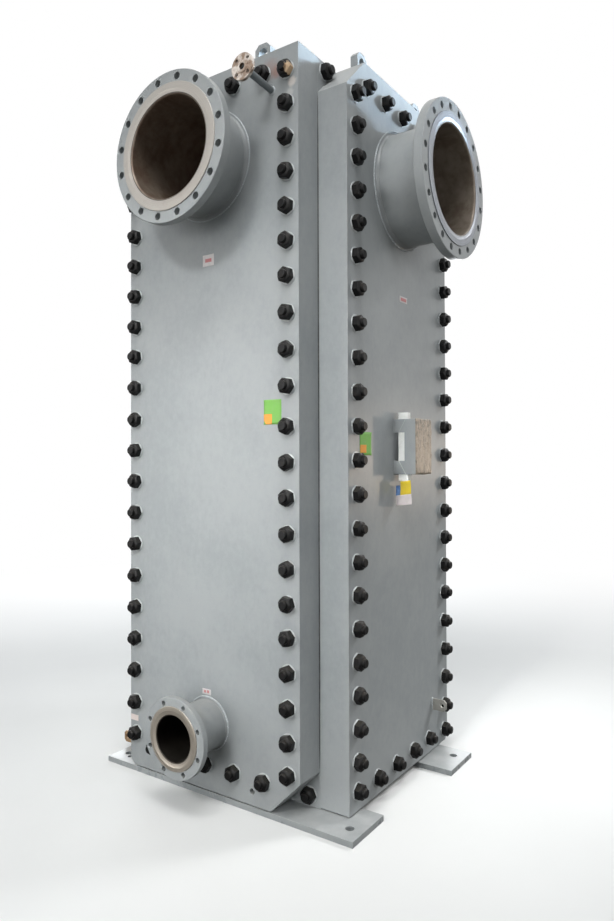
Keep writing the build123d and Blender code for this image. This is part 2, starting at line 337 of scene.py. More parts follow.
class Effects:
    """The shared effects, each a node group that puts out masks, values or heights."""

    def __init__(self) -> None:
        """Builds every group once."""
        self.edges = self.make_edges()
        self.clouds = self.make_clouds()
        self.dust = self.make_upward_dust_and_sheen()
        self.peel = self.make_peel()
        self.rings = self.make_rings()
        self.scuffs = self.make_scuffs()
        self.spot = self.make_spot()

    @staticmethod
    def start(name: str, inputs: dict[str, object], outputs: Sequence[str]) -> tuple[Graph, bpy.types.Node, bpy.types.Node]:
        """A new group with its sockets.

        Args:
            name: The group's name.
            inputs: Input names with their first values, None for a vector.
            outputs: Names of the outputs, all values.

        Returns:
            The graph, the node that gives the inputs and the node that takes the outputs.
        """
        tree = bpy.data.node_groups.new(name, "ShaderNodeTree")
        for key, value in inputs.items():
            kind = "NodeSocketVector" if value is None or isinstance(value, tuple) else "NodeSocketFloat"
            socket = tree.interface.new_socket(key, in_out="INPUT", socket_type=kind)
            if value is not None:
                socket.default_value = value
        for key in outputs:
            tree.interface.new_socket(key, in_out="OUTPUT", socket_type="NodeSocketFloat")
        graph = Graph(tree)
        return graph, graph.add("NodeGroupInput"), graph.add("NodeGroupOutput")

    def make_edges(self) -> bpy.types.NodeTree:
        """Mask of outer edges, which the finishes lighten partly as rubbed paint and partly as a painted highlight: how
        far the rounded normal leaves the true one, broken by noise.
        """
        graph, given, taken = self.start("edges_rubbed_and_highlighted", {"Vector": None, "Radius": 0.003}, ["Mask"])
        rounded = graph.add("Bevel", {"Radius": given.outputs["Radius"]}, samples=4).outputs[0]
        true = graph.add("NewGeometry").outputs["Normal"]
        agree = graph.add("VectorMath", {0: rounded, 1: true}, operation="DOT_PRODUCT").outputs["Value"]
        edge = graph.span(agree, 0.995, 0.85)
        broken = graph.span(graph.noise(given.outputs["Vector"], 22.0), 0.35, 0.62)
        graph.tree.links.new(graph.math("MULTIPLY", edge, graph.math("MULTIPLY_ADD", broken, 0.7, 0.3)), taken.inputs[0])
        return graph.tree

    def make_clouds(self) -> bpy.types.NodeTree:
        """Cloudy variation of a sprayed coat: broad noise with a finer mottle in it."""
        graph, given, taken = self.start("sprayed_clouds", {"Vector": None, "Scale": 3.0}, ["Value"])
        broad = graph.noise(given.outputs["Vector"], given.outputs["Scale"], 4.0, 0.6)
        mottle = graph.place(stretch=(7, 7, 5), vector=given.outputs["Vector"])
        fine = graph.noise(mottle, 5.0, 5.0, 0.7)
        graph.tree.links.new(graph.math("ADD", graph.math("MULTIPLY", broad, 0.65), graph.math("MULTIPLY", fine, 0.35)), taken.inputs[0])
        return graph.tree

    def make_upward_dust_and_sheen(self) -> bpy.types.NodeTree:
        """Mask of upward faces, thinned by noise: dust, and on the bars also a painted sheen on their tops."""
        graph, given, taken = self.start("upward_dust_and_sheen", {"Vector": None, "Amount": 0.6}, ["Mask"])
        normal = graph.add("NewGeometry").outputs["Normal"]
        upward = graph.span(graph.add("SeparateXYZ", {0: normal}).outputs["Z"], 0.25, 0.95)
        patch = graph.span(graph.noise(given.outputs["Vector"], 14.0, 5.0, 0.65), 0.25, 0.75, 0.35, 1.0)
        mask = graph.math("MULTIPLY", graph.math("MULTIPLY", upward, patch), given.outputs["Amount"], clamp=True)
        graph.tree.links.new(mask, taken.inputs[0])
        return graph.tree

    def make_peel(self) -> bpy.types.NodeTree:
        """Height of a sprayed coat: a fine orange peel over upright runs and a slow waviness of the plate."""
        graph, given, taken = self.start("orange_peel", {"Vector": None, "Fine": 260.0, "Slow": 5.0}, ["Height"])
        fine = graph.noise(given.outputs["Vector"], given.outputs["Fine"], 2.0)
        slow = graph.noise(given.outputs["Vector"], given.outputs["Slow"], 3.0)
        runs = graph.noise(graph.place(stretch=(34, 34, 3), vector=given.outputs["Vector"]), 1.5, 4.0)
        broad = graph.math("MULTIPLY_ADD", runs, 0.8, slow)
        graph.tree.links.new(graph.math("MULTIPLY_ADD", fine, 0.06, broad), taken.inputs[0])
        return graph.tree

    def make_rings(self) -> bpy.types.NodeTree:
        """Lathe marks about the local Y axis: a sine of the distance from it, uneven by noise."""
        graph, given, taken = self.start("turned_rings", {"Vector": None, "Pitch": 0.0016}, ["Height", "Tone", "Distance"])
        parts = graph.add("SeparateXYZ", {0: given.outputs["Vector"]})
        flat = graph.add("CombineXYZ", {"X": parts.outputs["X"], "Z": parts.outputs["Z"]}).outputs[0]
        distance = graph.add("VectorMath", {0: flat}, operation="LENGTH").outputs["Value"]
        wave = graph.math("SINE", graph.math("DIVIDE", graph.math("MULTIPLY", distance, TAU), given.outputs["Pitch"]))
        band = graph.add("CombineXYZ", {"X": graph.math("MULTIPLY", distance, 900.0)}).outputs[0]
        tone = graph.noise(band, 0.35, 4.0, 0.7)
        for number, value in enumerate((graph.math("MULTIPLY_ADD", wave, 0.25, tone), tone, distance)):
            graph.tree.links.new(value, taken.inputs[number])
        return graph.tree

    def make_scuffs(self) -> bpy.types.NodeTree:
        """Scuff mask: the peaks of a noise drawn out into slanting streaks."""
        graph, given, taken = self.start("scuffs", {"Vector": None, "Amount": 0.5}, ["Mask"])
        streaks = graph.place(stretch=(60, 60, 7), rotation=(0.5, 0.35, 0.2), vector=given.outputs["Vector"])
        lines = graph.span(graph.noise(streaks, 3.0, 3.0, 0.6), 0.66, 0.74)
        where = graph.span(graph.noise(given.outputs["Vector"], 2.2, 2.0), 0.52, 0.7)
        mask = graph.math("MULTIPLY", graph.math("MULTIPLY", lines, where), given.outputs["Amount"])
        graph.tree.links.new(mask, taken.inputs[0])
        return graph.tree

    def make_spot(self) -> bpy.types.NodeTree:
        """A ragged spot: distance from the origin of Vector against Radius, with a noisy rim."""
        graph, given, taken = self.start("ragged_spot", {"Vector": None, "Radius": 0.03, "Soft": 0.15}, ["Mask"])
        distance = graph.add("VectorMath", {0: given.outputs["Vector"]}, operation="LENGTH").outputs["Value"]
        ragged = graph.math("MULTIPLY_ADD", graph.noise(given.outputs["Vector"], 70.0, 4.0), 0.9, 0.55)
        share = graph.math("DIVIDE", distance, graph.math("MULTIPLY", given.outputs["Radius"], ragged))
        outer, inner = (graph.math(operation, 1.0, given.outputs["Soft"]) for operation in ("ADD", "SUBTRACT"))
        graph.tree.links.new(graph.span(share, outer, inner), taken.inputs[0])
        return graph.tree


def new_material(name: str) -> Graph:
    """A graph for a fresh material's nodes; the tree's owner is the material."""
    material = bpy.data.materials.new(name)
    material.use_nodes = True
    graph = Graph(material.node_tree)
    graph.material = material
    return graph


def finish_material(graph: Graph, inputs: dict[str, Socket], height: Optional[Socket] = None,
                    bump: float = 0.1, depth: float = 0.001, rounding: float = 0.0) -> bpy.types.Material:
    """Closes a material: its shader, its bump and its output.

    Args:
        graph: The material's graph.
        inputs: The shader's inputs by name.
        height: Height that feeds the bump.
        bump: Strength of the bump.
        depth: Depth of the bump in metres.
        rounding: Radius by which hard edges are shaded round.

    Returns:
        The material.
    """
    if height is not None:
        bumped = {"Height": height, "Strength": bump, "Distance": depth}
        if rounding:
            bumped["Normal"] = graph.add("Bevel", {"Radius": rounding}, samples=4).outputs[0]
        inputs = dict(inputs, Normal=graph.add("Bump", bumped).outputs[0])
    shader = graph.add("BsdfPrincipled", inputs)
    graph.add("OutputMaterial", {"Surface": shader.outputs[0]})
    return graph.material


@dataclass(frozen=True)
class Stain:
    """A ragged spot on a painted face: its centre in the row frame, radius, colour, softness and strength."""

    centre: tuple[float, float, float]
    radius: float
    color: tuple[float, float, float, float]
    soft: float = 0.15
    strength: float = 1.0


@dataclass(frozen=True)
class Paint:
    """Satin machinery paint.

    Args:
        name: The material's name.
        color: The coat's colour.
        roughness: Middle roughness.
        dust: Amount of dust on upward faces; on the bars it is also a painted sheen on top.
        edge_rub_and_highlight: How much lighter the edges are, partly as rubbed paint and partly as a painted
            highlight.
        stains: Ragged spots on it.
        sparkle: Strength of white specks painted as glints.
    """

    name: str = "satin_paint"
    color: tuple[float, float, float, float] = srgb(149, 153, 154)
    dark: tuple[float, float, float, float] = srgb(136, 141, 143)
    # Colour of the scuffs, and of the edges, which are lighter partly as rubbed paint and partly as a painted
    # highlight.
    edge: tuple[float, float, float, float] = srgb(182, 185, 184)
    # Colour on upward faces: dust, and on the bars also a painted sheen on top.
    dust_and_sheen_color: tuple[float, float, float, float] = srgb(168, 165, 156)
    roughness: float = 0.34
    dust: float = 0.3
    edge_rub_and_highlight: float = 0.55
    peel: float = 0.12
    peel_fine: float = 260.0
    peel_slow: float = 5.0
    specular: float = 0.3
    rounding: float = 0.003
    stains: tuple[Stain, ...] = ()
    sparkle: float = 0.0

    def material(self, effects: Effects) -> bpy.types.Material:
        """Builds the coat: clouds in the colour and gloss, edges lighter partly as rubbed paint and partly as a painted
        highlight, dust that on the bars is also a painted sheen on top, stains, scuffs, white specks painted as glints,
        and peel.
        """
        graph = new_material(self.name)
        here = graph.place()
        clouds = graph.effect(effects.clouds, Vector=here, Scale=2.4).outputs[0]
        color = graph.mix(graph.span(clouds, 0.35, 0.65), self.dark, self.color)
        color = graph.mix(graph.span(clouds, 0.2, 0.8, 0.0, 0.5), color, self.color)
        scuffs = graph.effect(effects.scuffs, Vector=here, Amount=0.35).outputs[0]
        color = graph.mix(scuffs, color, self.edge)
        # Edges lightened partly as rubbed paint and partly as a painted highlight along them.
        edges = graph.effect(effects.edges, Vector=here, Radius=self.rounding).outputs[0]
        color = graph.mix(graph.math("MULTIPLY", edges, self.edge_rub_and_highlight), color, self.edge)
        dust = graph.effect(effects.dust, Vector=here, Amount=self.dust).outputs[0]
        color = graph.mix(dust, color, self.dust_and_sheen_color)
        for stain in self.stains:
            spot = graph.effect(effects.spot, Vector=graph.place(stain.centre), Radius=stain.radius,
                                Soft=stain.soft).outputs[0]
            color = graph.mix(graph.math("MULTIPLY", spot, stain.strength), color, stain.color)
        # White specks painted as glints on the weld beads.
        if self.sparkle:
            specks = graph.span(graph.noise(here, 230.0, 2.0), 0.58, 0.66)
            where = graph.span(graph.noise(here, 5.0, 2.0), 0.38, 0.55, 0.25, 1.0)
            color = graph.mix(graph.math("MULTIPLY", graph.math("MULTIPLY", specks, where), self.sparkle), color,
                              srgb(240, 243, 245))
        gloss = graph.math("MULTIPLY_ADD", clouds, 0.16, self.roughness - 0.08)
        gloss = graph.math("ADD", gloss, graph.math("MULTIPLY", dust, 0.3), clamp=True)
        peel = graph.effect(effects.peel, Vector=here, Fine=self.peel_fine, Slow=self.peel_slow).outputs[0]
        return finish_material(graph, {"Base Color": color, "Roughness": gloss, "Specular IOR Level": self.specular},
                               peel, self.peel, 0.002, self.rounding)


@dataclass(frozen=True)
class BareSteel:
    """Bare steel with lathe marks or a plain ground.

    Args:
        name: The material's name.
        color: Its colour.
        dull: The darker colour in its clouds.
        roughness: Middle roughness.
        metallic: Share of metal.
        centre: Axis of the lathe marks, or None for plain grain.
        turn: Rotation that lays the marks' axis along local Y.
    """

    name: str
    color: tuple[float, float, float, float] = srgb(186, 184, 181)
    dull: tuple[float, float, float, float] = srgb(148, 142, 134)
    roughness: float = 0.34
    metallic: float = 0.85
    centre: Optional[tuple[float, float, float]] = None
    turn: float = 0.0
    bore_radius: float = 0.0
    bore_color: tuple[float, float, float, float] = srgb(128, 117, 105)
    bore_dark: tuple[float, float, float, float] = srgb(100, 82, 69)
    mouth_painted_shade: tuple[float, float, float, float] = srgb(66, 61, 56)
    mouth_width: float = 0.0042
    bore_metallic: float = 0.35
    dust: float = 0.25
    specular: float = 0.5
    cloud_scale: float = 9.0
    cloud_span: tuple[float, float] = (0.15, 0.85)

    def material(self, effects: Effects) -> bpy.types.Material:
        """Builds the steel: turned rings or clouds, a bore painted darker, partly as a duller wall and partly as
        painted shade, a band of painted shade at its mouth, and dust.
        """
        graph = new_material(self.name)
        here = graph.place()
        clouds = graph.effect(effects.clouds, Vector=here, Scale=self.cloud_scale).outputs[0]
        centred = graph.place(self.centre or (0, 0, 0), rotation=(0, 0, self.turn))
        rings = graph.effect(effects.rings, Vector=centred)
        tone = rings.outputs["Tone"] if self.centre else clouds
        color = graph.mix(graph.span(tone, *self.cloud_span), self.dull, self.color)
        color = graph.mix(graph.span(clouds, 0.5, 0.72, 0.0, 0.45), color, self.dull)
        rough = graph.math("MULTIPLY_ADD", clouds, 0.2, self.roughness - 0.1)
        metallic = self.metallic
        # The bore is darker partly as a duller wall and partly as painted shade inside the pipe; the band at its mouth
        # is painted shade at the rounding into the bore.
        if self.bore_radius:
            inside = graph.span(rings.outputs["Distance"], self.bore_radius + 0.0009, self.bore_radius + 0.0003)
            deep = self.bore_radius - self.mouth_width
            mouth = graph.span(rings.outputs["Distance"], deep + 0.0002, deep + 0.0016)
            wall = graph.mix(graph.span(clouds, 0.35, 0.65), self.bore_color, self.bore_dark)
            color = graph.mix(inside, color, graph.mix(mouth, wall, self.mouth_painted_shade))
            metallic = graph.math("MULTIPLY_ADD", inside, self.bore_metallic - self.metallic, self.metallic)
        dust = graph.effect(effects.dust, Vector=here, Amount=self.dust).outputs[0]
        color = graph.mix(dust, color, srgb(170, 164, 152))
        height = rings.outputs["Height"] if self.centre else clouds
        return finish_material(graph, {"Base Color": color, "Roughness": rough, "Metallic": metallic,
                                       "Specular IOR Level": self.specular}, height, 0.12, 0.0004, 0.0015)


@dataclass(frozen=True)
class BlackCap:
    """Black satin coating of the nuts and stud ends, dusty on top, worn bright at one nut."""

    name: str = "black_caps"
    color: tuple[float, float, float, float] = srgb(12, 12, 13)
    worn: tuple[float, float, float, float] = srgb(184, 158, 128)
    worn_centre: tuple[float, float, float] = (0, 0, 0)
    roughness: float = 0.42

    def material(self, effects: Effects) -> bpy.types.Material:
        """Builds the coating with edges lighter partly as rubbed paint and partly as a painted highlight, a brown
        mottle that is partly dirt and partly a painted reflection, dust and the one worn place.
        """
        graph = new_material(self.name)
        here = graph.place()
        # Lighter edges: partly rubbed coating, partly a painted highlight.
        edges = graph.effect(effects.edges, Vector=here, Radius=0.0015).outputs[0]
        color = graph.mix(graph.math("MULTIPLY", edges, 0.35), self.color, srgb(82, 80, 78))
        # Brown mottle: partly dirt, partly a painted reflection on the facets.
        dirt_and_reflection = graph.span(graph.noise(here, 30.0, 4.0), 0.5, 0.75, 0.0, 0.4)
        color = graph.mix(dirt_and_reflection, color, srgb(42, 37, 33))
        dust = graph.effect(effects.dust, Vector=here, Amount=0.2).outputs[0]
        color = graph.mix(dust, color, srgb(110, 106, 98))
        spot = graph.effect(effects.spot, Vector=graph.place(self.worn_centre), Radius=0.026).outputs[0]
        color = graph.mix(spot, color, self.worn)
        rough = graph.math("MULTIPLY_ADD", graph.noise(here, 55.0), 0.2, self.roughness - 0.1)
        peel = graph.effect(effects.peel, Vector=here, Fine=420.0, Slow=60.0).outputs[0]
        return finish_material(graph, {"Base Color": color, "Roughness": rough, "Specular IOR Level": 0.2}, peel, 0.25, 0.0006, 0.0012)


@dataclass(frozen=True)
class Paper:
    """Plain matt paper or foam of one colour, a little soiled."""

    name: str
    color: tuple[float, float, float, float]
    roughness: float = 0.6
    soil: float = 0.25

    def material(self, effects: Effects) -> bpy.types.Material:
        """Builds the paper: its colour, soiled by clouds."""
        graph = new_material(self.name)
        here = graph.place()
        clouds = graph.effect(effects.clouds, Vector=here, Scale=30.0).outputs[0]
        color = graph.mix(graph.span(clouds, 0.45, 0.75, 0.0, self.soil), self.color, srgb(150, 146, 136))
        fibre = graph.noise(here, 700.0, 2.0)
        rough = graph.math("MULTIPLY_ADD", clouds, 0.15, self.roughness - 0.07)
        return finish_material(graph, {"Base Color": color, "Roughness": rough}, fibre, 0.15, 0.0003)


@dataclass(frozen=True)
class Film:
    """Crumpled brownish protective film with a gloss."""

    name: str = "brown_film"
    color: tuple[float, float, float, float] = srgb(132, 121, 106)
    shade: tuple[float, float, float, float] = srgb(86, 78, 66)
    # Colour of the pale patches and creases: painted glints.
    glint: tuple[float, float, float, float] = srgb(168, 155, 138)

    def material(self, effects: Effects) -> bpy.types.Material:
        """Builds the film: blotches of browns, patches and creases where a noise crosses its middle painted pale as
        glints, and a gloss.
        """
        graph = new_material(self.name)
        here = graph.place()
        blotch = graph.noise(graph.place(stretch=(1, 1.7, 1)), 34.0, 5.0, 0.65)
        color = graph.mix(graph.span(blotch, 0.4, 0.52), self.shade, self.color)
        # Pale patches and creases: painted glints on the crumples.
        light = graph.noise(graph.place((0.1, 0.2, 0.3), (1, 1.6, 1)), 50.0, 3.0, 0.6)
        color = graph.mix(graph.span(light, 0.56, 0.68, 0.0, 0.75), color, self.glint)
        cross = graph.noise(graph.place(stretch=(1, 24, 5.5)), 1.2, 3.0, 0.6)
        crease = graph.span(graph.math("ABSOLUTE", graph.math("SUBTRACT", cross, 0.5)), 0.014, 0.003, 0.0, 0.6)
        color = graph.mix(crease, color, self.glint)
        height = graph.math("ADD", graph.math("MULTIPLY", crease, 0.8), blotch)
        rough = graph.math("MULTIPLY_ADD", blotch, 0.3, 0.2)
        return finish_material(graph, {"Base Color": color, "Roughness": rough}, height, 0.5, 0.0015)


@dataclass
class Fasteners:
    """Studs with black hexagon nuts on washers painted light, partly their own tone and partly a painted highlight of
    their rims, in rows along each panel's edges.

    Args:
        across_flats: Nut size in millimetres, as the rest.
        nut_height: Nut height above the washer.
        stud_diameter: The coated stud end's diameter.
        stud_tip: How far the stud end stands out of the panel.
        washer_diameter: Washer size.
        washer_thickness: Washer thickness.
    """

    nut_finish: bpy.types.Material
    washer_finish: bpy.types.Material
    across_flats: float = 62.0
    nut_height: float = 29.0
    stud_diameter: float = 40.0
    stud_tip: float = 48.0
    washer_diameter: float = 74.0
    washer_thickness: float = 4.0
    nut_samples: int = 12
    washer_samples: int = 24

    def nut(self) -> Shape:
        """A hexagon nut with its stud end.

        The radius at angle a is half the width across flats over the cosine of a's distance from
        the nearest flat. The shoulder is a 30 degree cone, so its rim drops by half the tangent of
        the radius beyond the cone's top circle.
        """
        angle = np.arange(self.nut_samples) * TAU / self.nut_samples
        half = self.across_flats / 2
        hexagon = half / np.cos((angle + math.pi / 6) % (math.pi / 3) - math.pi / 6)
        base, top = self.washer_thickness, self.washer_thickness + self.nut_height
        circle = np.full_like(angle, half * 0.88)
        drop = (hexagon - circle) * math.tan(math.radians(40))
        stud = np.full_like(angle, self.stud_diameter / 2)
        radius = np.stack((hexagon, hexagon, circle, stud, stud, stud * 0.84))
        level = np.stack((0 * angle + base, top - drop, 0 * angle + top, 0 * angle + top + 1.0,
                          0 * angle + self.stud_tip - 4, 0 * angle + self.stud_tip))
        return turned(radius, level)

    def washer(self) -> Shape:
        """A round washer with a small chamfer on its upper rim."""
        radius = self.washer_diameter / 2 - np.array((0, 0, 0.9))[:, None]
        level = np.array((0, self.washer_thickness - 0.9, self.washer_thickness))[:, None]
        return turned(np.broadcast_to(radius, (3, self.washer_samples)), level)

    def fit(self, name: str, groups: Sequence[tuple[Face, np.ndarray]], seed: int) -> None:
        """Makes the nuts and the washers of one name.

        Each copy is the nut turned about its own axis by a random angle, then moved to its place.

        Args:
            name: End of the pieces' names.
            groups: Faces with the (across, up) places on them.
            seed: Start of the random turns.
        """
        turns = np.random.default_rng(seed)
        nut, washer = self.nut(), self.washer()
        nuts, washers = [], []
        for face, places in groups:
            turn = turns.uniform(0, TAU, len(places))[:, None]
            x, y, level = nut.points.T[:, None]
            spun = np.stack((x * np.cos(turn) - y * np.sin(turn), x * np.sin(turn) + y * np.cos(turn),
                             level + 0 * turn), axis=-1)
            spun[..., :2] += places[:, None]
            flat = washer.points[None] + np.pad(places, ((0, 0), (0, 1)))[:, None]
            nuts.append(nut.moved(face.place(spun)))
            washers.append(washer.moved(face.place(flat)))
        make_piece(f"nuts_{name}", joined(nuts), self.nut_finish)
        make_piece(f"washers_{name}", joined(washers), self.washer_finish)


@dataclass(frozen=True)
class StudRows:
    """Places of the studs on a panel, in millimetres from its lower left corner.

    Args:
        left: Distance across of the left upright row, and its heights.
        right: Distance across of the right upright row, and its heights.
        top: Distances across in the top row, and its height.
        bottom: Distances across in the bottom row, and its height.
    """

    left: tuple[float, np.ndarray]
    right: tuple[float, np.ndarray]
    top: tuple[np.ndarray, float]
    bottom: tuple[np.ndarray, float]

    def places(self) -> np.ndarray:
        """Every stud as (across, up)."""
        rows = (self.left, self.right, self.top, self.bottom)
        return np.concatenate([np.stack(np.broadcast_arrays(*row), axis=-1) for row in rows])


def evenly(start: float, pitch: float, count: int) -> np.ndarray:
    """count values from start, a pitch apart."""
    return start + pitch * np.arange(count)


def unit(vectors: np.ndarray) -> np.ndarray:
    """Vectors brought to length one."""
    return vectors / np.linalg.norm(vectors, axis=-1, keepdims=True)


def ring_bead(centre: np.ndarray, face: Face, rise: np.ndarray, radius: float, bead: Bead) -> Shape:
    """A bead round a pipe: the root line is centre + radius * (cos a, sin a) in the face's plane."""
    count = max(48, round(TAU * radius / MM / bead.step))
    angle = (np.arange(count) * TAU / count)[:, None]
    side = np.cos(angle) * face.across + np.sin(angle) * UP
    return bead.along(centre + radius * side, side, np.broadcast_to(rise, side.shape), True)


def lathed(centre: np.ndarray, face: Face, profile: np.ndarray, samples: int) -> Shape:
    """A ring turned about a face's normal.

    The point at angle a is centre + radius * (cos a, sin a) in the face's plane + height * normal,
    for each (radius, height) of the profile, whose last point joins its first.

    Args:
        centre: Where the axis meets height nought, in metres.
        face: The face that gives the directions.
        profile: Radius and height pairs in millimetres.
        samples: Points round the axis.
    """
    angle = np.arange(samples) * TAU / samples
    spokes = np.cos(angle)[:, None] * face.across + np.sin(angle)[:, None] * UP
    radius, height = np.asarray(profile, float).T * MM
    points = centre + radius[:, None, None] * spokes[None] + height[:, None, None] * face.out
    return Shape(points.reshape(-1, 3), (lattice_quads(len(radius), samples, True, True),))


@dataclass
class Nozzle:
    """A nozzle's liner with its turned lip, and its two weld beads, in millimetres.

    Args:
        name: End of the CAD nodes' names.
        side: The side that it stands on.
        wall: Pipe wall, clearance and liner wall together.
        bevel_share: Share of the lip that slopes into the bore.
        mouth: Radius by which the bore rounds out into that slope.
        lip_height: How far the lip stands on the flange.
        rounding: Chamfer of the lip's outer edge.
        root: Fillet between the pipe and the panel.
        toe: Lumpy bead along that fillet's toe on the panel.
        rim: Bead between the pipe and the flange.
    """

    name: str
    side: Side
    wall: float
    bevel_share: float = 0.42
    mouth: float = 9.0
    lip_height: float = 4.0
    rounding: float = 1.0
    lip_color: tuple[float, float, float, float] = srgb(186, 184, 181)
    lip_dull: tuple[float, float, float, float] = srgb(148, 142, 134)
    # Bore colours: a duller wall, darkened as painted shade inside the pipe.
    bore_color: tuple[float, float, float, float] = srgb(128, 117, 105)
    bore_dark: tuple[float, float, float, float] = srgb(100, 82, 69)
    bore_metallic: float = 0.35
    specular: float = 0.5
    dust: float = 0.03
    samples: int = 256
    root: Bead = Bead(17.0, -4.8, 0.1, 9.0, 2.5, 9)
    toe: Bead = Bead(4.6, 1.2, 0.7, 7.0, 2.0, 5, 1.6)
    rim: Bead = Bead(9.0, 0.8, 0.35, 7.0, 2.5, 6, 1.0)

    @property
    def pipe(self) -> Face:
        """The rim end of the pipe's box."""
        return Face.of_node(f"nozzle_pipe_{self.name}", self.side)

    def on_axis(self, level: np.ndarray) -> np.ndarray:
        """The axis point at the same distance out as a given point."""
        low, high = (np.array(corner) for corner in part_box(f"nozzle_pipe_{self.name}"))
        middle = (low + high) / 2
        return middle + (level - middle) @ self.pipe.out * self.pipe.out

    def liner(self, effects: Effects) -> None:
        """Turns the liner: bore, a quarter round, sloping bevel, flat lip, its edge, and back along the outside."""
        lip = Face.of_node(f"liner_{self.name}", self.side)
        radius, lip_radius = self.pipe.height / MM / 2, lip.height / MM / 2
        bore = radius - self.wall
        slope = bore + self.bevel_share * (lip_radius - bore)
        low, high = (np.array(corner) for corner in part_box(f"liner_{self.name}"))
        depth = abs(lip.out @ (high - low)) / MM
        skin, back = bore + 4.0, -self.lip_height
        angle = np.linspace(0, math.pi / 2, 7)
        round_out = np.stack((bore + self.mouth * (1 - np.cos(angle)), self.mouth * (np.sin(angle) - 1) - 1.6), axis=-1)
        profile = ((bore, -depth), *round_out, (slope, -0.6), (slope + 1.5, 0), (lip_radius - self.rounding, 0),
                   (lip_radius, -self.rounding), (lip_radius, back), (skin, back), (skin, -depth))
        finish = BareSteel(f"lip_steel_{self.name}", self.lip_color, self.lip_dull, 0.38, centre=tuple(self.on_axis(lip.corner)),
                           turn=math.atan2(*(-lip.out[:2])) * -1, bore_radius=(bore + self.mouth - 0.8) * MM,
                           bore_color=self.bore_color, bore_dark=self.bore_dark,
                           bore_metallic=self.bore_metallic, specular=self.specular, dust=self.dust).material(effects)
        make_piece(f"lining_{self.name}", lathed(self.on_axis(lip.corner), lip, profile, self.samples), finish,
                   [f"liner_{self.name}"], sharp=20)

    def welds(self, smooth: bpy.types.Material, rough: bpy.types.Material) -> None:
        """Lays the fillet in place of the plain CAD one, and the lumpy beads at its toe and at the flange."""
        panel = Face.of_node(f"panel_{self.side.name.lower()}", self.side)
        foot, radius = self.on_axis(panel.corner), self.pipe.height / 2
        make_piece(f"weld_{self.name}", ring_bead(foot, panel, panel.out, radius, self.root), smooth,
                   [f"nozzle_welds_{self.name}"], sharp=60)
        shapes = [ring_bead(foot, panel, panel.out, radius + (self.root.leg - 2) * MM, self.toe),
                  ring_bead(self.on_axis(self.pipe.corner), panel, -panel.out, radius, self.rim)]
        make_piece(f"weld_toes_{self.name}", joined(shapes), rough, sharp=60)


@dataclass
class Vent:
    """The vent's thin pipe, which slants a little down to the panel, in millimetres.

    Args:
        drop: How far the root lies below the flange's middle.
        drift: How far the root lies to the right of it.
        radius: The pipe's outer radius.
        bore: Its inner radius.
        sunk: How far it runs on into the panel and the flange.
        cover_radius: Radius of the thin disc that closes the panel round the slanting root.
    """

    drop: float = 18.0
    drift: float = 5.0
    radius: float = 14.4
    bore: float = 12.0
    sunk: float = 3.0
    cover_radius: float = 15.0
    samples: int = 40
    bead: Bead = Bead(4.5, 0.4, 0.4, 6.0, 1.5, 5, 0.8)

    def make(self, finish: bpy.types.Material, weld_finish: bpy.types.Material, panel_finish: bpy.types.Material) -> None:
        """A tube whose rings lie in planes across its slanting line, the bead at its root and the disc behind."""
        panel = Face.of_node("panel_front", Side.FRONT)
        rim = Face.of_node("vent_pipe", Side.FRONT)
        low, high = (np.array(corner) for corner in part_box("vent_flange"))
        middle = (low + high) / 2
        end = middle + (rim.corner - middle) @ rim.out * rim.out
        root = middle + (panel.corner - middle) @ panel.out * panel.out
        root = root + (self.drift * panel.across - self.drop * UP) * MM
        axis = root - (self.drift * panel.across - self.drop * UP) * MM
        disc = lathed(axis, panel, np.array(((0.01, 0.3), (self.cover_radius, 0.3), (self.cover_radius, -0.5), (0.01, -0.5))), 32)
        make_piece("vent_cover", disc, panel_finish)
        line = unit(end - root)
        first = unit(np.cross(UP, line))
        tilted = Face(root, first, line, 0.0, 0.0)
        angle = np.arange(self.samples) * TAU / self.samples
        spokes = np.cos(angle)[:, None] * first + np.sin(angle)[:, None] * np.cross(line, first)
        reach = np.linalg.norm(end - root) / MM + self.sunk
        profile = np.array(((self.radius, -self.sunk), (self.radius, reach), (self.bore, reach), (self.bore, -self.sunk))) * MM
        points = root + profile[:, :1, None] * spokes[None] + profile[:, 1:, None] * tilted.out
        tube = Shape(points.reshape(-1, 3), (lattice_quads(len(profile), self.samples, True, True),))
        make_piece("vent_tube", tube, finish, ["vent_pipe"])
        bead = ring_bead(root, panel, panel.out, self.radius * MM, self.bead)
        make_piece("weld_vent", bead, weld_finish, sharp=60)


@dataclass
class ShadowGapStrips:
    """Dark strips up the four upright corners between the panels: painted shadow in the gaps there.

    Args:
        leg: Visible width of the edge in millimetres.
        small_cut: Height of a panel's small cut corner.
        large_cut: Height of a panel's large cut corner.
    """

    leg: float = 3.4
    small_cut: float = 28.0
    large_cut: float = 150.0

    def make(self, finish: bpy.types.Material) -> None:
        """Runs a small fillet up each corner, from the one panel's cut foot to the other's cut head."""
        bead = Bead(self.leg, 0.2, 0.15, 60.0, 20.0, 4)
        foot, head = Face.of_node("panel_front", Side.FRONT).corner[2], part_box("panel_right")[1][2]
        front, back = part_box("panel_front"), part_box("panel_back")
        shapes = []
        for x, y, low, high in ((front[1][0], front[1][1], self.large_cut, self.large_cut), (front[0][0], front[1][1], self.small_cut, 0),
                                (back[1][0], back[0][1], self.small_cut, 0), (back[0][0], back[0][1], self.large_cut, self.large_cut)):
            heights = np.arange(foot + low * MM, head - high * MM, bead.step * MM)[:, None]
            path = np.array((x, y, 0.0)) + heights * UP
            outward = np.sign((x - (front[0][0] + front[1][0]) / 2, y))
            side = np.broadcast_to((outward[0], 0.0, 0.0), path.shape)
            rise = np.broadcast_to((0.0, outward[1], 0.0), path.shape)
            shapes.append(bead.along(path, side, rise, False))
        make_piece("shadow_gap_strips", joined(shapes), finish, sharp=60)


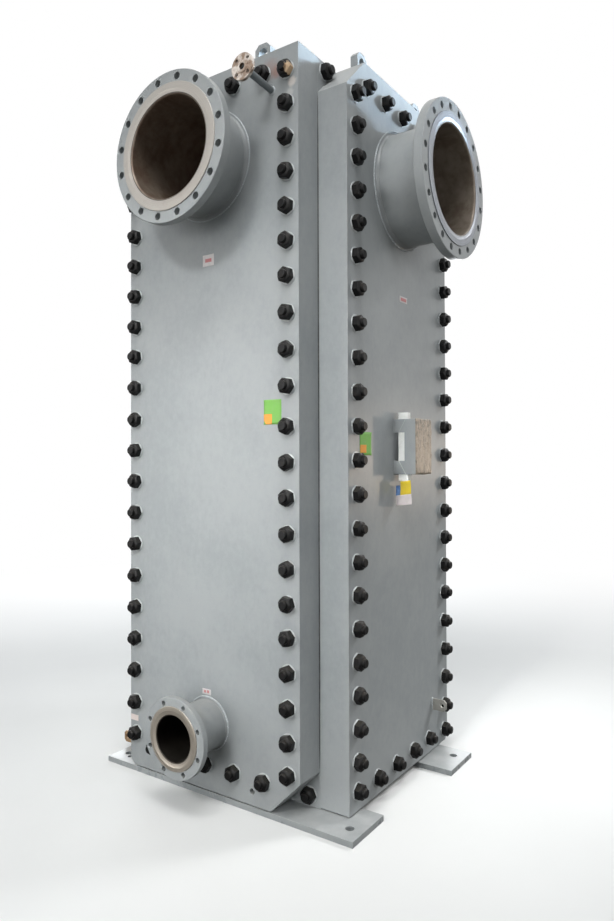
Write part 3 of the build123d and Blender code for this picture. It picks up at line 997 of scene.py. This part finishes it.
@dataclass
class Welds:
    """Fillet welds round the feet of the lifting lugs, the earthing lugs and the bracket.

    Args:
        finish: The paint over them.
        sheet_finish: The paint over the beads at the thin sheet.
        small: Bead round a lifting lug.
        fine: Bead at thin sheet.
        loop_samples: Points round a foot.
        squareness: Power of the superellipse that goes round a foot.
    """

    finish: bpy.types.Material
    sheet_finish: bpy.types.Material
    small: Bead = Bead(9.0, 1.4, 0.8, 7.0, 2.0, 5)
    fine: Bead = Bead(4.0, 0.6, 0.4, 5.0, 1.6, 5)
    loop_samples: int = 160
    squareness: float = 14.0

    def foot(self, centre: np.ndarray, first: np.ndarray, second: np.ndarray, rise: np.ndarray, bead: Bead) -> Shape:
        """A bead round a rectangular foot.

        The root line is a superellipse: |x / a|^n + |y / b|^n = 1 with a high n, walked by the
        angle whose cosine and sine carry the power 2 / n. Its side is the slope of that formula.

        Args:
            centre: Middle of the foot.
            first: Half its length as a vector.
            second: Half its width as a vector.
            rise: Unit direction of the upright.
            bead: The bead's sizes.
        """
        angle = ((np.arange(self.loop_samples) + 0.5) * TAU / self.loop_samples)[:, None]
        x, y = (np.sign(part) * np.abs(part) ** (2 / self.squareness) for part in (np.cos(angle), np.sin(angle)))
        power = self.squareness - 1
        slope_x, slope_y = (np.sign(part) * np.abs(part) ** power for part in (x, y))
        side = unit(slope_x * first / (first @ first) + slope_y * second / (second @ second))
        return bead.along(centre + x * first + y * second, side, np.broadcast_to(rise, side.shape), True)

    def lifting_lugs(self, side: Side) -> None:
        """The beads round the feet of one panel's two lifting lugs."""
        low, high = (np.array(corner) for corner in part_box(f"lifting_lugs_{side.name.lower()}"))
        across, out = (np.array(direction, float) for direction in side.value)
        panel_low, panel_high = (np.array(corner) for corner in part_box(f"panel_{side.name.lower()}"))
        middle = (panel_low + panel_high) / 2 + UP * (panel_high[2] - panel_low[2]) / 2
        reach = abs(across @ (high - low)) / 2
        half_width, half_depth = 0.041, abs(out @ (high - low)) / 2
        shapes = [self.foot(middle + sign * (reach - half_width) * across, half_width * across,
                            half_depth * out, UP, self.small) for sign in (-1, 1)]
        make_piece(f"weld_lugs_{side.name.lower()}", joined(shapes), self.finish, sharp=60)

    def tab(self, node: str, side: Side, piece: str) -> None:
        """The bead round the foot of an upright tab on a panel."""
        low, high = (np.array(corner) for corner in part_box(node))
        across, out = (np.array(direction, float) for direction in side.value)
        panel = Face.of_node(f"panel_{side.name.lower()}", side)
        middle = (low + high) / 2
        root = middle + (panel.corner - middle) @ out * out
        half_width, half_height = abs(across @ (high - low)) / 2, (high[2] - low[2]) / 2
        shape = self.foot(root, half_height * UP, half_width * across, out, self.fine)
        make_piece(piece, shape, self.finish, sharp=60)

    def bracket(self, foot_height: float = 61.0, sheet: float = 4.0) -> None:
        """The beads at the four feet of the nameplate bracket's two cheeks."""
        face = Face.of_node("nameplate_bracket", Side.RIGHT)
        panel = Face.of_node("panel_right", Side.RIGHT)
        depth = (panel.corner - face.corner) @ face.out / MM
        width, height = face.width / MM, face.height / MM
        shapes = []
        for across in (sheet / 2, width - sheet / 2):
            for level in (foot_height / 2, height - foot_height / 2):
                middle = face.place((across, level, depth))
                shapes.append(self.foot(middle, foot_height / 2 * MM * UP, sheet / 2 * MM * face.across,
                                        face.out, self.fine))
        make_piece("weld_bracket", joined(shapes), self.sheet_finish, sharp=60)


@dataclass(frozen=True)
class Sticker:
    """A plain thin label on a face, in millimetres from the face's lower left corner.

    Args:
        name: The piece's name.
        left, right, low, high: Its borders.
        finish: Its paper.
        curl: How far its corners lift.
        layer: Its distance from the face.
    """

    name: str
    left: float
    right: float
    low: float
    high: float
    finish: bpy.types.Material
    curl: float = 1.5
    layer: float = 0.5
    samples: int = 12

    def stick(self, face: Face, thickness: float = 0.25) -> None:
        """Makes the label: a grid that lifts with the fourth power of the way to each corner."""
        share = np.linspace(-1, 1, self.samples)
        across, up = np.meshgrid(share, share)
        lift = self.layer + self.curl * (across ** 4 * np.abs(up) ** 3)
        points = np.stack(((self.left + self.right) / 2 + across * (self.right - self.left) / 2,
                           (self.low + self.high) / 2 + up * (self.high - self.low) / 2, lift), axis=-1)
        shape = Shape(face.place(points.reshape(-1, 3)), (lattice_quads(self.samples, self.samples),))
        piece = make_piece(self.name, shape, self.finish, closed=False)
        solid = piece.modifiers.new("thickness", "SOLIDIFY")
        solid.thickness, solid.offset = thickness * MM, -1.0


@dataclass
class BracketFittings:
    """What sits on the nameplate bracket: a ridged packing bar, tape, a tag and a crumpled film.

    Args:
        face: The bracket's front plane on the right panel.
        depth: The panel's distance behind that plane, in millimetres.
    """

    face: Face
    depth: float
    foam: bpy.types.Material
    film_finish: bpy.types.Material
    tape: bpy.types.Material
    yellow: bpy.types.Material
    blue: bpy.types.Material
    white: bpy.types.Material
    bar_out: tuple[float, float] = (17.0, 68.0)
    bar_across: tuple[float, float] = (4.5, 40.0)
    bar_overhang: tuple[float, float] = (30.0, 31.0)
    tag_out: tuple[float, float] = (7.0, 84.0)
    tag_drop: float = 146.0
    tag_slope: float = 0.13
    film_margin: float = -2.0

    def bar(self) -> None:
        """The ridged bar behind the near cheek.

        Its section is a superellipse with flutes: the radius swells with a cosine of the angle in
        the middle and with a cosine of the height in the two ends that stand past the bracket.
        """
        height = self.face.height / MM
        low, high = -self.bar_overhang[1], height + self.bar_overhang[0]
        level = np.concatenate(([low], np.linspace(low, high, 160), [high]))[:, None]
        angle = (np.arange(144) * TAU / 144)[None]
        ends = np.clip(np.maximum(-level, level - height) / 6, 0, 1)
        flute = 0.5 * np.cos(36 * angle) * (1 - ends) + 0.35 * np.cos(TAU * level / 7) * ends
        shape_x, shape_y = (np.sign(part) * np.abs(part) ** 0.3 for part in (np.cos(angle), np.sin(angle)))
        inner = np.ones_like(level)
        inner[[0, -1]] = 0.0
        half = [(pair[1] - pair[0]) / 2 for pair in (self.bar_across, self.bar_out)]
        across = sum(self.bar_across) / 2 + shape_x * (half[0] - 1 + flute) * inner
        out = sum(self.bar_out) / 2 + shape_y * (half[1] - 1 + flute) * inner - self.depth
        points = np.stack((across, np.broadcast_to(level, across.shape), out), axis=-1)
        shape = Shape(self.face.place(points.reshape(-1, 3)), (lattice_quads(*across.shape, close_columns=True),))
        make_piece("packing_bar", shape, self.foam, sharp=50)

    def tapes(self, cheek_out: tuple[float, float] = (24.0, 59.0), notch: tuple[float, float] = (61.0, 191.0)) -> None:
        """Two slanting light strips on the near cheek, from the notch's corners to the bracket's ends: the glint along
        a clear tape's edges, painted.
        """
        height = self.face.height / MM
        shapes = []
        for start, end in ((notch[0], 0.0), (notch[1], height)):
            share = np.linspace(0, 1, 12)[:, None, None]
            line = np.array((cheek_out[0] - self.depth, start)) * (1 - share) + np.array((cheek_out[1] - self.depth, end)) * share
            width = np.linspace(-1.4, 1.4, 4)[None, :, None] * np.array((0.87, 0.5))
            spread = line + width
            bulge = 0.9 * np.cos(np.linspace(-math.pi / 2, math.pi / 2, 4))[None, :] + 0 * spread[..., 0]
            points = np.stack((-0.2 - bulge, spread[..., 1], spread[..., 0]), axis=-1)
            shapes.append(Shape(self.face.place(points.reshape(-1, 3)), (lattice_quads(12, 4, False, True),)))
        make_piece("tape_edges", joined(shapes), self.tape)

    def card(self, name: str, out: tuple[float, float], level: tuple[float, float], finish: bpy.types.Material,
             layer: float) -> None:
        """A thin card in the near cheek's plane, bowed by a sine along its height."""
        share = np.linspace(0, 1, 10)
        along, up = np.meshgrid(share, share)
        reach = out[0] + (out[1] - out[0]) * along + 3.0 * (1 - up) * (along - 0.5) - self.depth
        rise = self.tag_slope * (out[0] - self.tag_out[0] + (out[1] - out[0]) * along)
        points = np.stack((layer + 2.0 * np.sin(math.pi * up), level[0] + (level[1] - level[0]) * up + rise, reach), axis=-1)
        shape = Shape(self.face.place(points.reshape(-1, 3)), (lattice_quads(10, 10),))
        piece = make_piece(name, shape, finish, closed=False)
        solid = piece.modifiers.new("thickness", "SOLIDIFY")
        solid.thickness, solid.offset = 0.6 * MM, 0.0

    def tag(self) -> None:
        """The hanging tag: a white foot, a yellow field and a narrow blue one above it."""
        low = -self.tag_drop
        self.card("tag_white", self.tag_out, (low, low + 47), self.white, 4.0)
        self.card("tag_yellow", (self.tag_out[0] + 22, self.tag_out[1] - 3), (low + 46, -self.bar_overhang[1] - 6), self.yellow, 4.4)
        self.card("tag_blue", (self.tag_out[0], self.tag_out[0] + 21), (low + 46, low + 92), self.blue, 4.2)

    def film(self) -> None:
        """The crumpled film over the plate.

        Its height over the plate is a sum of ridges, each the peak of a slanting sine raised to a
        power, and it curls over the plate's edges. Its right edge wanders with two sines.
        """
        rows, columns = 110, 70
        height, width = self.face.height / MM, self.face.width / MM
        up, across = np.meshgrid(np.linspace(0, 1, rows), np.linspace(0, 1, columns), indexing="ij")
        edge = 1 - 0.02 * (1 + np.sin(13 * up + 1)) - 0.015 * (1 + np.sin(31 * up)) - 0.03 * np.clip(up * 8 - 6.8, 0, 1)
        x = (self.film_margin + (width - 2 * self.film_margin) * across * edge) / width
        ridges = np.random.default_rng(5)
        lift = np.zeros_like(x)
        for lean, count, phase, size in zip(ridges.uniform(-0.9, 0.9, 9), ridges.uniform(4, 15, 9),
                                            ridges.uniform(0, TAU, 9), ridges.uniform(0.3, 1.1, 9)):
            wave = np.sin(0.7 * count * (x + lean * up * 0.5) + phase + 0.6 * np.sin(4 * up + phase))
            patch = 0.5 + 0.5 * np.sin(count * up * 0.8 + 2 * phase)
            lift += 0.8 * size * patch * np.abs(wave) ** 8
        rim = np.minimum.reduce((across, 1 - across, up, 1 - up))
        lift = 3.2 + lift * np.clip(rim * 12, 0, 1) - 2.4 * np.clip(1 - rim * 40, 0, 1)
        level = self.film_margin + (height - 2 * self.film_margin) * up + 1.2 * np.sin(9 * across)
        points = np.stack((x * width, level, lift), axis=-1)
        shape = Shape(self.face.place(points.reshape(-1, 3)), (lattice_quads(rows, columns),))
        piece = make_piece("plate_film", shape, self.film_finish, closed=False, sharp=80)
        solid = piece.modifiers.new("thickness", "SOLIDIFY")
        solid.thickness, solid.offset = 0.3 * MM, -1.0


@dataclass
class StudioCamera:
    """The camera, at the photograph's place, with its lens and framing.

    Args:
        location: Its place in metres.
        heading: Degrees to the left of +Y.
        pitch: Degrees above level.
        roll: Degrees about its own axis.
        lens: Focal length for a 36 mm high sensor.
        shift: Shift across and upward, as shares of the picture's height.
    """

    location: tuple[float, float, float] = (2.1149, -2.8698, 1.5057)
    heading: float = 34.5668
    pitch: float = 0.657
    roll: float = -0.1776
    lens: float = 27.527
    shift: tuple[float, float] = (0.003634, -0.011562)

    def make(self) -> None:
        """Makes the camera: forward from heading and pitch, right level, up across both, then the roll."""
        turn, tilt, roll = (math.radians(angle) for angle in (self.heading, self.pitch, self.roll))
        forward = np.array((-math.sin(turn) * math.cos(tilt), math.cos(turn) * math.cos(tilt), math.sin(tilt)))
        right = np.array((math.cos(turn), math.sin(turn), 0.0))
        up = np.cross(right, forward)
        right, up = math.cos(roll) * right + math.sin(roll) * up, math.cos(roll) * up - math.sin(roll) * right
        data = bpy.data.cameras.new("camera")
        data.sensor_fit, data.sensor_height, data.lens = "VERTICAL", 36.0, self.lens
        data.shift_x, data.shift_y = self.shift
        camera = bpy.data.objects.new("camera", data)
        bpy.context.scene.collection.objects.link(camera)
        matrix = Matrix.Identity(4)
        for column, axis in enumerate((right, up, -forward)):
            for row in range(3):
                matrix[row][column] = axis[row]
        matrix.translation = self.location
        camera.matrix_world = matrix
        bpy.context.scene.camera = camera


@dataclass(frozen=True)
class Lamp:
    """A soft area lamp: its place, what it faces, size, power and colour."""

    name: str
    location: tuple[float, float, float]
    target: tuple[float, float, float]
    size: tuple[float, float]
    power: float
    color: tuple[float, float, float]
    spread: float = 180.0

    def make(self) -> None:
        """Places the lamp, out of the camera's sight."""
        data = bpy.data.lights.new(self.name, "AREA")
        data.shape, data.size, data.size_y = "RECTANGLE", *self.size
        data.energy, data.color, data.spread = self.power, self.color, math.radians(self.spread)
        lamp = bpy.data.objects.new(self.name, data)
        bpy.context.scene.collection.objects.link(lamp)
        away = Matrix.Translation(self.location).translation - Matrix.Translation(self.target).translation
        lamp.location = self.location
        lamp.rotation_euler = away.to_track_quat("Z", "Y").to_euler()
        lamp.visible_camera = False


@dataclass
class Studio:
    """Plain pale floor, soft lamps and a white background."""

    floor_reach: float = 40.0
    floor_color: tuple[float, float, float, float] = srgb(232, 233, 232)
    floor_bounce: tuple[float, float, float, float] = srgb(112, 111, 108)
    fade: tuple[float, float] = (1.6, 7.0)
    ambient: tuple[float, float, float, float] = (0.95, 0.98, 1.0, 1.0)
    ambient_strength: float = 0.33
    lamps: tuple[Lamp, ...] = (
        Lamp("key", (-3.4, -4.8, 1.6), (0.0, -0.4, 0.8), (1.2, 3.0), 10.5, (1.0, 0.995, 0.98), 60.0),
        Lamp("front_windows", (0.1, -7.5, 1.4), (-0.1, -0.4, 0.9), (3.0, 3.0), 21.0, (1.0, 0.995, 0.98), 46.0),
        Lamp("front_high", (0.5, -6.4, 5.6), (0.0, -0.4, 1.25), (1.6, 1.2), 11.8, (1.0, 0.995, 0.98), 30.0),
        Lamp("right_wall", (6.5, 0.6, 1.6), (0.6, 0.0, 0.3), (5.0, 2.6), 47.0, (1.0, 1.0, 1.0), 120.0),
        Lamp("hall_right", (5.0, -4.5, 3.2), (0.8, 0.1, 2.76), (1.5, 1.2), 1.0, (1.0, 1.0, 1.0), 20.0),
        Lamp("door_back_right", (4.0, 6.0, 1.5), (0.6, 0.3, 1.3), (0.35, 0.5), 0.9, (1.0, 0.80, 0.62), 30.0),
        Lamp("door_low", (3.6, 4.2, 4.6), (0.62, 0.2, 0.2), (1.2, 1.2), 11.0, (1.0, 1.0, 1.0), 40.0),
        Lamp("window_back_right", (3.9, 6.1, 4.7), (0.55, 0.1, 4.4), (1.2, 0.3), 130.0, (0.66, 0.83, 1.0), 24.0),
        Lamp("window_back_left", (-1.9, 6.6, 2.8), (-0.2, 0.4, 1.6), (2.8, 3.2), 150.0, (0.94, 0.97, 1.0)),
        Lamp("window_left", (-6.0, 3.9, 2.9), (-0.4, 0.2, 1.4), (3.0, 3.0), 220.0, (0.94, 0.97, 1.0)),
        Lamp("roof_light", (1.8, -2.9, 7.6), (0.2, -0.3, 1.2), (3.0, 2.0), 220.0, (1.0, 1.0, 1.0)),
    )

    def make(self) -> None:
        """Builds the floor, the lamps and the world."""
        bpy.context.scene.view_settings.view_transform = "Standard"
        reach = self.floor_reach
        corners = np.array(((-reach, -reach, 0), (reach, -reach, 0), (reach, reach, 0), (-reach, reach, 0)), float)
        mesh = bpy.data.meshes.new("floor")
        mesh.from_pydata(corners.tolist(), [], [(0, 1, 2, 3)])
        graph = new_material("pale_floor")
        tone = graph.mix(graph.noise(graph.place(), 0.8, 5.0), self.floor_color, srgb(222, 223, 222))
        shown = graph.add("LightPath").outputs["Is Camera Ray"]
        flat = graph.add("VectorMath", {0: graph.place()}, operation="LENGTH").outputs["Value"]
        far = graph.math("MULTIPLY", graph.span(flat, *self.fade), shown)
        tone = graph.mix(far, graph.mix(shown, self.floor_bounce, tone), (0, 0, 0, 1))
        glow = graph.mix(far, (0, 0, 0, 1), (1, 1, 1, 1))
        mesh.materials.append(finish_material(graph, {"Base Color": tone, "Roughness": 0.8, "Specular IOR Level": 0.0,
                                                      "Emission Color": glow, "Emission Strength": 1.0}))
        floor = bpy.data.objects.new("floor", mesh)
        bpy.context.scene.collection.objects.link(floor)
        for lamp in self.lamps:
            lamp.make()
        world = bpy.data.worlds.new("studio")
        world.use_nodes = True
        sky = Graph(world.node_tree)
        rays = sky.add("LightPath")
        seen = sky.math("ADD", sky.math("ADD", rays.outputs["Is Camera Ray"], rays.outputs["Is Glossy Ray"]),
                        rays.outputs["Is Transmission Ray"], clamp=True)
        light = sky.add("Background", {"Color": self.ambient, "Strength": self.ambient_strength})
        white = sky.add("Background", {"Color": (1, 1, 1, 1), "Strength": 1.0})
        both = sky.add("MixShader", {0: seen, 1: light.outputs[0], 2: white.outputs[0]})
        sky.add("OutputWorld", {"Surface": both.outputs[0]})
        bpy.context.scene.world = world


def dress(nodes: Sequence[str], material: bpy.types.Material) -> None:
    """Gives CAD nodes one material, each named slot and all."""
    for node in nodes:
        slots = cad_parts[node].material_slots
        for slot in slots:
            slot.material = material
        if not slots:
            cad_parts[node].data.materials.append(material)
        log.info("%s: %s", node, material.name)


@dataclass
class NodeFinishes:
    """The finishes of the CAD nodes.

    Args:
        effects: The shared effects.
        front: The front panel's outer face, where its stains lie.
    """

    effects: Effects
    front: Face

    def panels(self) -> None:
        """Paints the panels; the front one carries pale rub marks and a brown smudge near its top."""
        marks = (Stain(tuple(self.front.place((968, 3028, 0))), 0.019, srgb(196, 190, 184), 0.4, 0.8),
                 Stain(tuple(self.front.place((958, 2985, 0))), 0.016, srgb(186, 186, 184), 0.5, 0.6),
                 Stain(tuple(self.front.place((892, 3092, 0))), 0.024, srgb(150, 104, 92), 0.6, 0.6),
                 Stain(tuple(self.front.place((858, 3112, 0))), 0.038, srgb(150, 122, 112), 0.6, 0.5))
        self.front_paint = Paint(name="front_panel_paint", stains=marks).material(self.effects)
        dress(["panel_front"], self.front_paint)
        others = ["panel_right", "panel_back", "panel_left", "bottom_head", "top_head"]
        dress(others + [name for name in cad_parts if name.startswith("column_")],
              Paint(name="panel_paint").material(self.effects))

    def fittings(self) -> None:
        """Paints the pipes, flanges, lugs, bracket and bars."""
        small = [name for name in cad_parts
                 if name.startswith(("nozzle_pipe_", "nozzle_welds_", "flange_", "lifting_lugs_"))]
        self.fitting_paint = Paint(name="fitting_paint", peel=0.09, rounding=0.002, edge_rub_and_highlight=0.7).material(self.effects)
        dress(small + ["vent_pipe", "nameplate_bracket"], self.fitting_paint)
        # The bars' heavy light grey on upward faces is partly dust and partly a painted sheen on their tops.
        dress(["base_bar_front", "base_bar_back"],
              Paint(name="bar_paint", dust=0.65, dust_and_sheen_color=srgb(188, 190, 189), edge_rub_and_highlight=0.8, roughness=0.28,
                    specular=0.5).material(self.effects))

    def steel(self) -> None:
        """Gives the liners, the vent flange, the tabs, the plates and the nameplate their bare steel."""
        liners = [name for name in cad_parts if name.startswith("liner_")]
        dress(liners, BareSteel("lip_steel").material(self.effects))
        # The vent flange's white blotches are painted highlights on its bare steel.
        dress(["vent_flange"], BareSteel("vent_flange_painted_highlights", srgb(222, 214, 206), srgb(146, 126, 110), 0.3, 0.6, cloud_scale=30.0,
                                         cloud_span=(0.42, 0.58)).material(self.effects))
        dress(["earthing_lug_left"], BareSteel("tan_steel", srgb(186, 160, 128), srgb(140, 112, 84), 0.4, 0.5).material(self.effects))
        dress(["earthing_lug_right"], BareSteel("tab_steel", srgb(176, 176, 170), srgb(140, 138, 132), 0.4, 0.5).material(self.effects))
        # The plates' dark brown is painted shade inside the closed core.
        dress(["plate_pairs", "plate_channels"], BareSteel("plates_in_painted_shade", srgb(92, 74, 62), srgb(62, 42, 32), 0.4, 0.35).material(self.effects))
        dress(["nameplate"], BareSteel("nameplate_steel", srgb(150, 142, 130), srgb(120, 110, 98), 0.3, 0.7).material(self.effects))


def add_studs(panels: dict[Side, Face], fasteners: Fasteners) -> None:
    """Studs the four panels and the corner columns; the hidden sides repeat the visible ones."""
    left_heights = np.array((157, 307, 460, 611, 761, 913, 1065, 1215, 1366, 1513, 1661, 1814, 1964, 2108, 2255, 2401,
                             2545, 2693, 2843, 2993))
    right_heights = np.array((175, 309, 449, 592, 736, 875, 1018, 1162, 1310, 1456, 1605, 1771, 1922, 2074, 2227, 2372,
                              2515, 2658, 2799, 2941, 3082))
    near_heights = np.array((84, 205, 343, 482, 620, 759, 899, 1037, 1177, 1321, 1464, 1606, 1750, 1895, 2040, 2185, 2325,
                             2462, 2600, 2740, 2875, 3011))
    far_heights = np.array((63, 190, 336, 480, 626, 774, 916, 1059, 1199, 1343, 1488, 1632, 1774, 1913, 2055, 2196, 2339,
                            2483, 2625, 2766, 2908, 3048))
    tall = StudRows((43.0, left_heights), (944.0, right_heights),
                    (evenly(167, 164, 5), 3097.0), (evenly(168, 161.5, 5), 115.0))
    wide = StudRows((63.0, near_heights), (952.0, far_heights),
                    (evenly(162, 169, 5), 3076.0), (evenly(236, 176, 4), 76.0))
    thickness = 145.0
    foot, head = np.array(((950.0, 44.0),)), np.array(((50.0, 3141.0),))
    for number, (side, face) in enumerate(panels.items()):
        if side in (Side.FRONT, Side.BACK):
            groups = [(face, tall.places()), (face.sunk(thickness), foot)]
        else:
            groups = [(face, wide.places()), (face.sunk(thickness), head)]
        fasteners.fit(side.name.lower(), groups, number)


def add_labels(panels: dict[Side, Face], effects: Effects) -> None:
    """Sticks the plain labels on the front and right panels."""
    green = Paper("green_paper", srgb(112, 170, 76)).material(effects)
    orange = Paper("orange_paper", srgb(224, 150, 56)).material(effects)
    white = Paper("white_paper", srgb(200, 196, 196)).material(effects)
    red = Paper("red_paper", srgb(190, 122, 124)).material(effects)
    pale = Paper("pale_paper", srgb(212, 200, 196)).material(effects)
    front, right = panels[Side.FRONT], panels[Side.RIGHT]
    for sticker in (Sticker("label_green_front", 820, 911, 1615, 1719, green),
                    Sticker("label_orange_front", 820, 862, 1616, 1659, orange, 0.5, 1.0),
                    Sticker("label_white_upper", 474, 540, 2335, 2387, white, 0.8),
                    Sticker("label_white_lower", 468, 519, 421, 446, white, 0.8),
                    Sticker("label_pale_left", 1, 52, 211, 238, pale, 0.0),
                    Sticker("label_band_upper", 488, 526, 2353, 2369, red, 0.0, 1.0),
                    Sticker("label_mark_left", 477, 490, 428, 439, red, 0.0, 1.0),
                    Sticker("label_mark_right", 495, 508, 429, 441, red, 0.0, 1.0)):
        sticker.stick(front)
    for sticker in (Sticker("label_green_right", 95, 195, 1485, 1585, green),
                    Sticker("label_orange_right", 98, 151, 1496, 1530, orange, 0.5, 1.0),
                    Sticker("label_white_right", 472, 551, 2206, 2235, white, 0.8),
                    Sticker("label_band_right", 484, 540, 2213, 2228, red, 0.0, 1.0)):
        sticker.stick(right)


def main() -> None:
    """Builds the scene in order: finishes, CAD nodes, fasteners, welds, labels, bracket, studio."""
    effects = Effects()
    panels = {side: Face.of_node(f"panel_{side.name.lower()}", side) for side in Side}
    finishes = NodeFinishes(effects, panels[Side.FRONT])
    finishes.panels()
    finishes.fittings()
    finishes.steel()
    worn = tuple(panels[Side.FRONT].place((976, 3073, 22)))
    cap = BlackCap(worn_centre=worn).material(effects)
    # The washers' light grey is partly their own tone and partly a painted highlight of their rims.
    washer = Paper("washer_coat_with_painted_highlight", srgb(186, 191, 192), 0.35, 0.35).material(effects)
    add_studs(panels, Fasteners(cap, washer))
    # The weld beads carry the same coat as the fittings, painted lighter as a highlight and with white specks painted
    # as glints.
    weld_coat_with_painted_glints = Paint(name="weld_coat_with_painted_glints", edge_rub_and_highlight=0.8, rounding=0.001, roughness=0.26, peel=0.5, peel_fine=420.0,
                       peel_slow=140.0, sparkle=1.0, color=srgb(182, 188, 191), dark=srgb(154, 160, 163)).material(effects)
    slim = Bead(9.0, -2.5, 0.1, 9.0, 2.5, 7)
    # The lips are one steel: their tints and brightness per nozzle are painted reflection and light. The small nozzles'
    # near black bores are painted shade, and the right top bore is painted lighter where light reaches into it.
    small = {"lip_color": srgb(202, 196, 187), "lip_dull": srgb(150, 140, 126), "mouth": 5.0, "bevel_share": 0.5,
             "bore_color": srgb(20, 17, 15), "bore_dark": srgb(11, 9, 8), "bore_metallic": 0.05, "specular": 0.12}
    painted_warm_reflection = {"lip_color": srgb(182, 179, 174), "lip_dull": srgb(150, 144, 136)}
    painted_cool_reflection = {"lip_color": srgb(141, 146, 153), "lip_dull": srgb(98, 100, 104),
            "bore_color": srgb(134, 125, 114), "bore_dark": srgb(106, 94, 82)}
    for nozzle in (Nozzle("front_top", Side.FRONT, 14.0, **painted_warm_reflection), Nozzle("front_bottom", Side.FRONT, 12.7, root=slim, **small),
                   Nozzle("right_top", Side.RIGHT, 14.0, **painted_cool_reflection), Nozzle("left_bottom", Side.LEFT, 12.7, root=slim, **small)):
        nozzle.liner(effects)
        nozzle.welds(finishes.fitting_paint, weld_coat_with_painted_glints)
    # The vent tube's coat is darker than the fittings' as painted shade.
    vent_tube_coat_painted_shade = Paint(name="vent_tube_coat_painted_shade", color=srgb(112, 119, 122), dark=srgb(92, 99, 102), peel=0.09,
                       rounding=0.002).material(effects)
    Vent().make(vent_tube_coat_painted_shade, weld_coat_with_painted_glints, finishes.front_paint)
    # Near black strips in the panel corners: painted shadow in the gaps.
    ShadowGapStrips().make(Paper("painted_shadow_gap", srgb(38, 40, 41), 0.6, 0.3).material(effects))
    welds = Welds(weld_coat_with_painted_glints, finishes.fitting_paint)
    for side in Side:
        welds.lifting_lugs(side)
    welds.tab("earthing_lug_right", Side.RIGHT, "weld_earth_right")
    welds.tab("earthing_lug_left", Side.LEFT, "weld_earth_left")
    welds.bracket()
    add_labels(panels, effects)
    bracket = Face.of_node("nameplate_bracket", Side.RIGHT)
    depth = -(panels[Side.RIGHT].corner - bracket.corner) @ bracket.out / MM
    # The tape strips' light grey is the glint along a clear tape's edges, painted.
    fittings = BracketFittings(bracket, depth, Paper("white_foam", srgb(232, 234, 232)).material(effects),
                               Film().material(effects), Paper("tape_painted_glint", srgb(186, 190, 188), 0.3).material(effects),
                               Paper("yellow_card", srgb(214, 188, 40), 0.4).material(effects),
                               Paper("blue_card", srgb(70, 112, 164), 0.4).material(effects),
                               Paper("white_card", srgb(214, 206, 206), 0.5).material(effects))
    fittings.bar()
    fittings.tapes()
    fittings.tag()
    fittings.film()
    StudioCamera().make()
    Studio().make()


if __name__ == "__main__":
    logging.basicConfig(level=logging.INFO, format="%(message)s")
    main()
